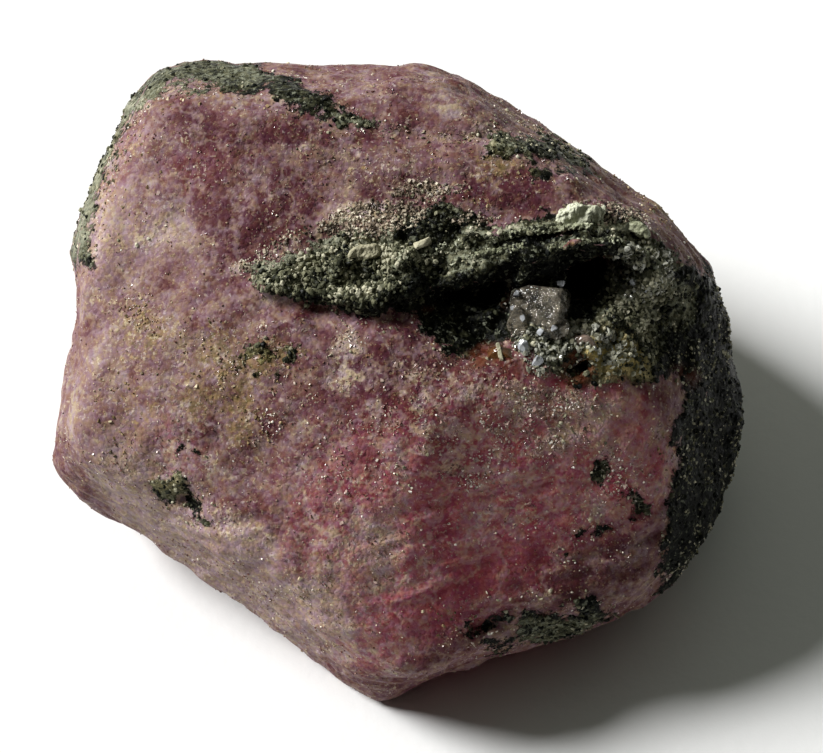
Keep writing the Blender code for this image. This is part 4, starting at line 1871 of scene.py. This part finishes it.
def hand_over(obj: bpy.types.Object, material: bpy.types.Material, smooth: bool) -> None:
    """Brings a finished piece to the table, dresses it and lets it ride on the crystal.

    Args:
        obj: The piece, in crystal millimetres.
        material: Its finish.
        smooth: Whether it is shaded smooth.
    """
    obj.data.transform(table_from_crystal())
    obj.data.update()
    obj.data.materials.clear()
    obj.data.materials.append(material)
    take(obj)
    if smooth:
        bpy.ops.object.shade_smooth()
    else:
        bpy.ops.object.shade_flat()
    deselect_all()
    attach(obj, BODY)
    obj.data.calc_loop_triangles()
    log.info("%s: %d triangles", obj.name, len(obj.data.loop_triangles))


@dataclass
class LooseGrains:
    """All the loose grains on the crystal."""

    box: GrainBox

    def beds(self, ground: Ground) -> list[tuple[GrainBed, np.ndarray]]:
        """Says where each kind of grain lies.

        Args:
            ground: The body's faces.

        Returns:
            Each bed with the weight of every face.
        """
        chunk, blade, flake, speck = GrainShape
        fields = ground.fields
        hollow = ground.within(DARK_HOLLOWS, 0.08)
        rock = smooth_step(fields["amphibole"], -0.1, 0.12)
        khaki = np.clip(fields["khaki"], 0, 1)
        ruby = 1 - smooth_step(fields["amphibole"], -0.15, 0.0)
        chalk = smooth_step(fields["chalk"], -0.2, 0.15)
        crust = ground.within((CRUST,), 0.15)
        fringe = smooth_step(fields["amphibole"], -0.4, -0.05) * ruby
        rim = ground.within((RIM, RIM_TOP, RIM_TAIL), 0.3)
        open_rock = rock * (1 - 0.93 * hollow) * (1 - 0.85 * rim)
        crumbly = np.clip(fields["crumbly"], 0, 1) * (1 - 0.8 * hollow)
        places = ground.site.places
        crowded = smooth_step(ripple(places, 1.5, 81.0) + 0.8 * ripple(places, 0.5, 82.0), -0.15, 0.75)
        return [
            (
                GrainBed("clear_splinters", "feldspar", GLASS_GRAINS, 900, 0.05, 0.26, 0.45,
                         (0.0, 1.0), (chunk, flake), 15),
                ground.within((SPLINTERS,), 0.15) + 0.5 * ground.within(SHELF_SPLINTERS, 0.1),
            ),
            (
                GrainBed("amphibole_crust", "amphibole", AMPHIBOLE_FINISH, 1500, 0.08, 0.28, 0.5,
                         (0.0, 0.6), (chunk, blade), 11, 0.6, 0.3),
                crust,
            ),
            (
                GrainBed("cream_crust", "feldspar", CREAM_FINISH, 1800, 0.05, 0.16, 0.62,
                         (-0.1, 0.95), (speck, chunk), 21, 0.0, 0.4, 1.3),
                ground.within(CREAM_CRUST, 0.2)
                + 0.35 * ground.within(CREAM_FRINGE, 0.15)
                + 0.5 * ground.within(CREAM_SPOTS, 0.15),
            ),
            (
                GrainBed("stringer_crumbs", "feldspar", PALE_GREEN, 700, 0.05, 0.15, 0.6,
                         (-0.3, 0.8), (speck, chunk), 22, 0.0, 0.4),
                ground.within(STRINGERS, 0.07),
            ),
            (
                GrainBed("shelf_grains", "amphibole", AMPHIBOLE_FINISH, 1100, 0.07, 0.24, 0.5,
                         (0.0, 0.7), (chunk, flake), 24, 0.35, 0.4),
                rock * ground.within(SHELF, 0.3) * (0.2 + crowded),
            ),
            (
                GrainBed("amphibole_grains", "amphibole", AMPHIBOLE_FINISH, 4500, 0.06, 0.26, 0.58,
                         (-0.1, 0.75), (chunk,), 12, 0.5, 0.2, 2.6),
                open_rock * (0.35 + 0.65 * khaki),
            ),
            (
                GrainBed("feldspar_grains", "feldspar", FELDSPAR_FINISH, 2000, 0.04, 0.16, 0.45,
                         (0.1, 0.9), (chunk, flake), 13),
                0.4 * chalk + 0.4 * khaki * open_rock + 0.3 * fringe,
            ),
            (
                GrainBed("pale_lumps", "ruby", PALE_CRUMBS, 300, 0.09, 0.24, 0.74,
                         (-0.1, 0.6), (speck, flake), 18, 0.0, 0.3),
                (crumbly ** 2 + 0.3 * chalk * ruby) * (0.1 + crowded),
            ),
            (
                GrainBed("ochre_crumbs", "ruby", OCHRE_FINISH, 1500, 0.04, 0.15, 0.6,
                         (0.1, 0.95), (speck, chunk), 19, 0.0, 0.4, 1.2),
                ruby * np.clip(fields["ochre"], 0, 1) * (0.15 + crowded),
            ),
            (
                GrainBed("side_glints", "feldspar", FELDSPAR_FINISH, 1300, 0.035, 0.12, 0.4,
                         (0.1, 1.0), (speck,), 20),
                open_rock * smooth_step(ground.site.plan[:, 0], 7.4, 8.2) * (0.1 + crowded),
            ),
            (
                GrainBed("pale_crumbs", "ruby", PALE_CRUMBS, 5200, 0.035, 0.12, 0.66,
                         (-0.1, 0.85), (speck, chunk), 16, 0.0, 0.4),
                (crumbly ** 1.5 + 0.25 * chalk * ruby) * (0.12 + crowded) + 0.3 * fringe,
            ),
            (
                GrainBed("ruby_crumbs", "ruby", DUST_FINISH, 8000, 0.026, 0.075, 0.4,
                         (0.0, 1.0), (speck,), 14, rarity=1.6),
                ruby * (0.15 + crowded) * (
                    0.15 + fields["dust"] ** 2 + 0.5 * chalk + 0.6 * np.clip(fields["ochre"], 0, 1)
                ),
            ),
        ]

    def build(self, ground: Ground) -> None:
        """Strews and dresses every bed.

        Args:
            ground: The body's faces.
        """
        materials = {}
        for bed, weights in self.beds(ground):
            grains = bed.build(ground, weights, self.box)
            if bed.finish.name not in materials:
                materials[bed.finish.name] = bed.finish.material()
            hand_over(grains, materials[bed.finish.name], False)


@dataclass
class Stone:
    """One larger grain that is set in the rock: a block broken along chance planes, then weathered."""

    name: str
    finish: GrainFinish | ClearFinish
    plan: Point
    size: Triple
    turn: float
    lift: float
    seed: int
    tone: float = 0.6
    cuts: int = 14
    roughness: float = 0.14
    slot: str = "feldspar"
    upright: float = 1.0
    rounding: float = 0.14
    nearest_cut: float = 0.33
    farthest_cut: float = 0.52
    cut_stretch: float = 1.1
    steps_across: int = 13
    finest_step: float = 0.022
    lump_share: float = 0.7
    surround: float = 1.1
    least_facing: float = 0.2
    level_percent: float = 75.0
    tilt: float = 0.25

    def build(self, ground: Ground) -> None:
        """Models, places and dresses the stone.

        Args:
            ground: The body's faces.
        """
        random = np.random.default_rng(self.seed)
        bpy.ops.mesh.primitive_cube_add(size=1.0)
        stone = bpy.context.object
        stone.name = stone.data.name = self.name
        bpy.ops.object.mode_set(mode="EDIT")
        bpy.ops.transform.resize(value=self.size)
        bpy.ops.mesh.bevel(offset=min(self.size) * self.rounding, segments=1)
        for _ in range(self.cuts):
            normal = random.normal(size=3)
            normal[2] *= self.upright
            normal /= np.linalg.norm(normal)
            reach = random.uniform(self.nearest_cut, self.farthest_cut)
            cleave(normal, reach * np.linalg.norm(normal * np.array(self.size)) * self.cut_stretch)
        bpy.ops.mesh.select_all(action="SELECT")
        bpy.ops.mesh.normals_make_consistent(inside=False)
        bpy.ops.object.mode_set(mode="OBJECT")
        self.wear(stone)
        self.place(stone, ground, random)
        store(stone.data, "tone", np.full(len(stone.data.vertices), self.tone))
        hand_over(stone, self.finish.material(), False)

    def wear(self, stone: bpy.types.Object) -> None:
        """Gives the stone a rough, weathered surface.

        Args:
            stone: The stone.
        """
        smallest = min(self.size)
        step = max(smallest / self.steps_across, self.finest_step)
        modify(stone, "even", "REMESH", mode="VOXEL", voxel_size=step)
        pattern = relief_pattern(self.name, "CLOUDS", smallest * self.lump_share, noise_depth=3)
        modify(stone, "weather", "DISPLACE", texture=pattern, texture_coords="LOCAL", strength=self.roughness)

    def place(self, stone: bpy.types.Object, ground: Ground, random: np.random.Generator) -> None:
        """Turns the stone and sets it level with the ground round it.

        Args:
            stone: The stone, at the origin.
            ground: The body's faces.
            random: The generator for its small chance tilt.
        """
        away = np.linalg.norm(ground.site.plan - np.array(self.plan), axis=1)
        near = (away < self.surround) & (ground.site.facing > self.least_facing)
        level = np.percentile(ground.site.places[near, 2], self.level_percent)
        share = (SIGHT.z - level) / SIGHT.z
        x = SIGHT.x + (self.plan[0] - SIGHT.x) * share
        y = SIGHT.y + (self.plan[1] - SIGHT.y) * share
        tilt = random.uniform(-self.tilt, self.tilt, 2)
        turn = Matrix.Rotation(math.radians(self.turn), 4, "Z")
        lean = Matrix.Rotation(tilt[0], 4, "X") @ Matrix.Rotation(tilt[1], 4, "Y")
        stone.data.transform(Matrix.Translation((x, y, level + self.lift)) @ turn @ lean)


@dataclass
class Crystal(Stone):
    """A clean grain, broken along steep planes, whose faces stay flat."""

    upright: float = 0.3
    edge_share: float = 0.05
    edge_segments: int = 2

    def wear(self, stone: bpy.types.Object) -> None:
        """Breaks the edges but keeps the faces flat.

        Args:
            stone: The stone.
        """
        width = min(self.size) * self.edge_share
        modify(stone, "edges", "BEVEL", width=width, segments=self.edge_segments, limit_method="ANGLE")


CLEAR_GRAIN = ClearFinish(
    "clear_feldspar", (0.56, 0.49, 0.37), 0.68, 1.54, (0.76, 0.66, 0.5), 500.0, 0.12, 0.25, 0.8
)
GLASSY = ClearFinish(
    "glassy_feldspar", (0.93, 0.96, 1.0), 0.55, 1.6, (0.9, 0.95, 1.0), 100.0, 0.55, 0.01, 0.6
)
PINK_GRAIN = ClearFinish("pinkish_corundum", (0.34, 0.25, 0.20), 0.3, 1.76, (0.6, 0.4, 0.3), 900.0, 0.4)
AMBER = ClearFinish("amber_corundum", (0.20, 0.085, 0.03), 0.35, 1.76, (0.7, 0.3, 0.1), 1500.0, 0.2)
STONES = (
    Crystal("clear_grain", CLEAR_GRAIN, (4.1, 1.95), (1.55, 1.3, 0.9), -6, -0.25, 34, cuts=7),
    Crystal("clear_grain_side", CLEAR_GRAIN, (3.5, 1.6), (0.6, 1.1, 0.8), 10, -0.3, 21),
    Crystal("clear_grain_foot", CLEAR_GRAIN, (4.5, 1.35), (0.9, 0.7, 0.8), 25, -0.3, 8),
    Stone("pink_grain", PINK_GRAIN, (5.0, 0.75), (1.6, 0.9, 0.8), 28, -0.5, 5, roughness=0.2, slot="ruby"),
    Crystal("amber_grain", AMBER, (2.95, 0.5), (1.1, 0.8, 0.7), 25, -0.5, 6, slot="ruby"),
    Stone("amber_sliver", FELDSPAR_FINISH, (2.92, 0.7), (0.12, 0.55, 0.14), 12, -0.08, 7, 0.6, 6, 0.03),
    Crystal("glass_bead", GLASSY, (4.72, 2.7), (0.22, 0.22, 0.22), 0, 0.06, 9, cuts=20),
    Crystal("glass_star_left", GLASSY, (6.8, 2.75), (0.13, 0.17, 0.15), 20, 0.02, 51, cuts=12),
    Crystal("glass_star_right", GLASSY, (7.2, 2.5), (0.18, 0.14, 0.16), 0, 0.02, 52, cuts=12),
    Crystal("glass_chip_upper", GLASSY, (3.6, 0.85), (0.3, 0.4, 0.3), -10, -0.06, 10),
    Crystal("glass_chip_lower", GLASSY, (4.05, 0.45), (0.26, 0.4, 0.28), -30, -0.06, 12),
    Stone("pale_chunk", PALE_GREEN, (5.35, 4.72), (1.45, 0.62, 0.42), 2, -0.26, 14, 0.85, 12, 0.32),
    Stone("pale_chunk_tail", PALE_GREEN, (6.9, 4.35), (1.0, 0.35, 0.3), -18, -0.2, 15, 0.4, 12, 0.14),
    Stone("stringer_upper", PALE_GREEN, (4.5, 4.3), (2.7, 0.15, 0.2), 8, -0.13, 41, 0.45, 6, 0.2),
    Stone("stringer_lower", PALE_GREEN, (5.5, 3.95), (1.6, 0.11, 0.16), 5, -0.13, 42, 0.25, 6, 0.18),
    Stone("stringer_left", PALE_GREEN, (2.7, 3.65), (1.3, 0.13, 0.16), 14, -0.13, 43, 0.1, 6, 0.18),
    Stone("long_grain", FELDSPAR_FINISH, (0.64, 3.88), (0.55, 0.22, 0.22), 22, 0.0, 16, 0.7, 8, 0.05),
    Stone("crust_chalk", FELDSPAR_FINISH, (-1.0, 3.6), (1.0, 0.42, 0.36), 8, -0.2, 17, 0.55, 12, 0.24),
)

# Small clear chips along the border of the large clear grain
BORDER_CHIPS = tuple(
    Crystal(f"border_chip_{turn}", GLASSY, place, (0.2, 0.15, 0.2), turn, 0.1, turn, cuts=10)
    for turn, place in (
        (70, (3.42, 2.42)),
        (115, (3.6, 1.7)),
        (31, (4.5, 1.4)),
        (84, (4.8, 1.9)),
        (12, (3.34, 2.0)),
        (57, (4.1, 1.3)),
    )
)


@dataclass(frozen=True)
class Studio:
    """A plain pale floor, one soft key light from the left, low even fill and the camera."""

    floor_side: float = 1.2
    floor_colour: Colour = (0.85, 0.85, 0.84)
    floor_shade: Colour = (0.6, 0.6, 0.6)
    floor_roughness: float = 0.9
    floor_ior: float = 1.4
    key_direction: Triple = (-0.95, 0.346, 0.749)
    key_strength: float = 6.0
    key_angle: float = 22.0
    fill_direction: Triple = (0.15, 0.9, 0.5)
    fill_edge: float = 0.02
    fill_strength: float = 0.33
    fill_colour: Colour = (0.95, 1.0, 0.88)
    backdrop: float = 0.95
    elevation: float = 58.0

    def build(self) -> None:
        """Sets up the floor, the lights and the camera."""
        self.lay_floor()
        self.light()
        self.place_camera()

    def lay_floor(self) -> None:
        """Lays the floor at the table's height."""
        bpy.ops.mesh.primitive_plane_add(size=self.floor_side)
        floor = bpy.context.object
        floor.name = "floor"
        r = Recipe("pale_floor")
        colour = r.mix(r.noise(9.0, 4) * 0.06, self.floor_colour, self.floor_shade)
        normal = r.bump(r.noise(0.4, 3) * 0.01)
        floor.data.materials.append(r.finish(colour, self.floor_roughness, normal, self.floor_ior))
        deselect_all()

    def light(self) -> None:
        """Adds the key light and the fill."""
        sun = bpy.data.lights.new("key", "SUN")
        sun.energy = self.key_strength
        sun.angle = math.radians(self.key_angle)
        key = new_object("key", sun)
        key.rotation_euler = Vector(self.key_direction).to_track_quat("Z", "Y").to_euler()
        bpy.context.scene.world = self.fill()
        bpy.context.scene.view_settings.view_transform = "Standard"

    def fill(self) -> bpy.types.World:
        """Makes the fill light, which is stronger from behind, and a pale backdrop.

        Returns:
            The world.
        """
        world = bpy.data.worlds.new("fill")
        world.use_nodes = True
        nodes = Nodes(world.node_tree)
        way = nodes.node("TexCoord", output="Generated")
        ends = {0: way, 1: Vector(self.fill_direction).normalized()}
        toward = nodes.node("VectorMath", {"operation": "DOT_PRODUCT"}, ends, "Value")
        ends = {"Value": toward, "From Min": self.fill_edge, "To Max": self.fill_strength}
        strength = nodes.node("MapRange", {"interpolation_type": "SMOOTHSTEP"}, ends)
        soft = nodes.node("Background", None, {"Color": (*self.fill_colour, 1.0), "Strength": strength})
        pale = nodes.node("Background", None, {"Color": (1.0, 1.0, 1.0, 1.0), "Strength": self.backdrop})
        seen = nodes.node("LightPath", output="Is Camera Ray")
        both = nodes.node("MixShader", None, {0: seen, 1: soft, 2: pale})
        nodes.feed(world.node_tree.nodes["World Output"], {"Surface": both})
        return world

    def place_camera(self) -> None:
        """Points the camera down the c axis, from the sight point."""
        tilt = math.radians(self.elevation)
        toward = Vector((0, -math.cos(tilt), math.sin(tilt)))
        up = Vector((0, math.sin(tilt), math.cos(tilt)))
        turn = Matrix((Vector((1, 0, 0)), up, toward)).transposed().to_4x4()
        sight = table_from_crystal() @ SIGHT
        data = bpy.data.cameras.new("camera")
        data.sensor_width = SENSOR_WIDTH
        data.lens = SENSOR_WIDTH * SIGHT.z / (FRAME_WIDTH * PIXEL)
        data.clip_start = MM
        camera = new_object("camera", data)
        camera.matrix_world = Matrix.Translation(sight) @ turn
        bpy.context.scene.camera = camera


def main() -> None:
    """Builds the crystal and its setting."""
    logging.basicConfig(level=logging.INFO, format="%(message)s")
    Studio().build()
    body = RubyBody().build()
    ground = Ground.of(body)
    hand_over(body, RubyFinish().material(), True)
    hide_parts(CAD_NODE)
    for stone in STONES + BORDER_CHIPS:
        stone.build(ground)
    LooseGrains(GrainBox()).build(ground)


if __name__ == "__main__":
    main()
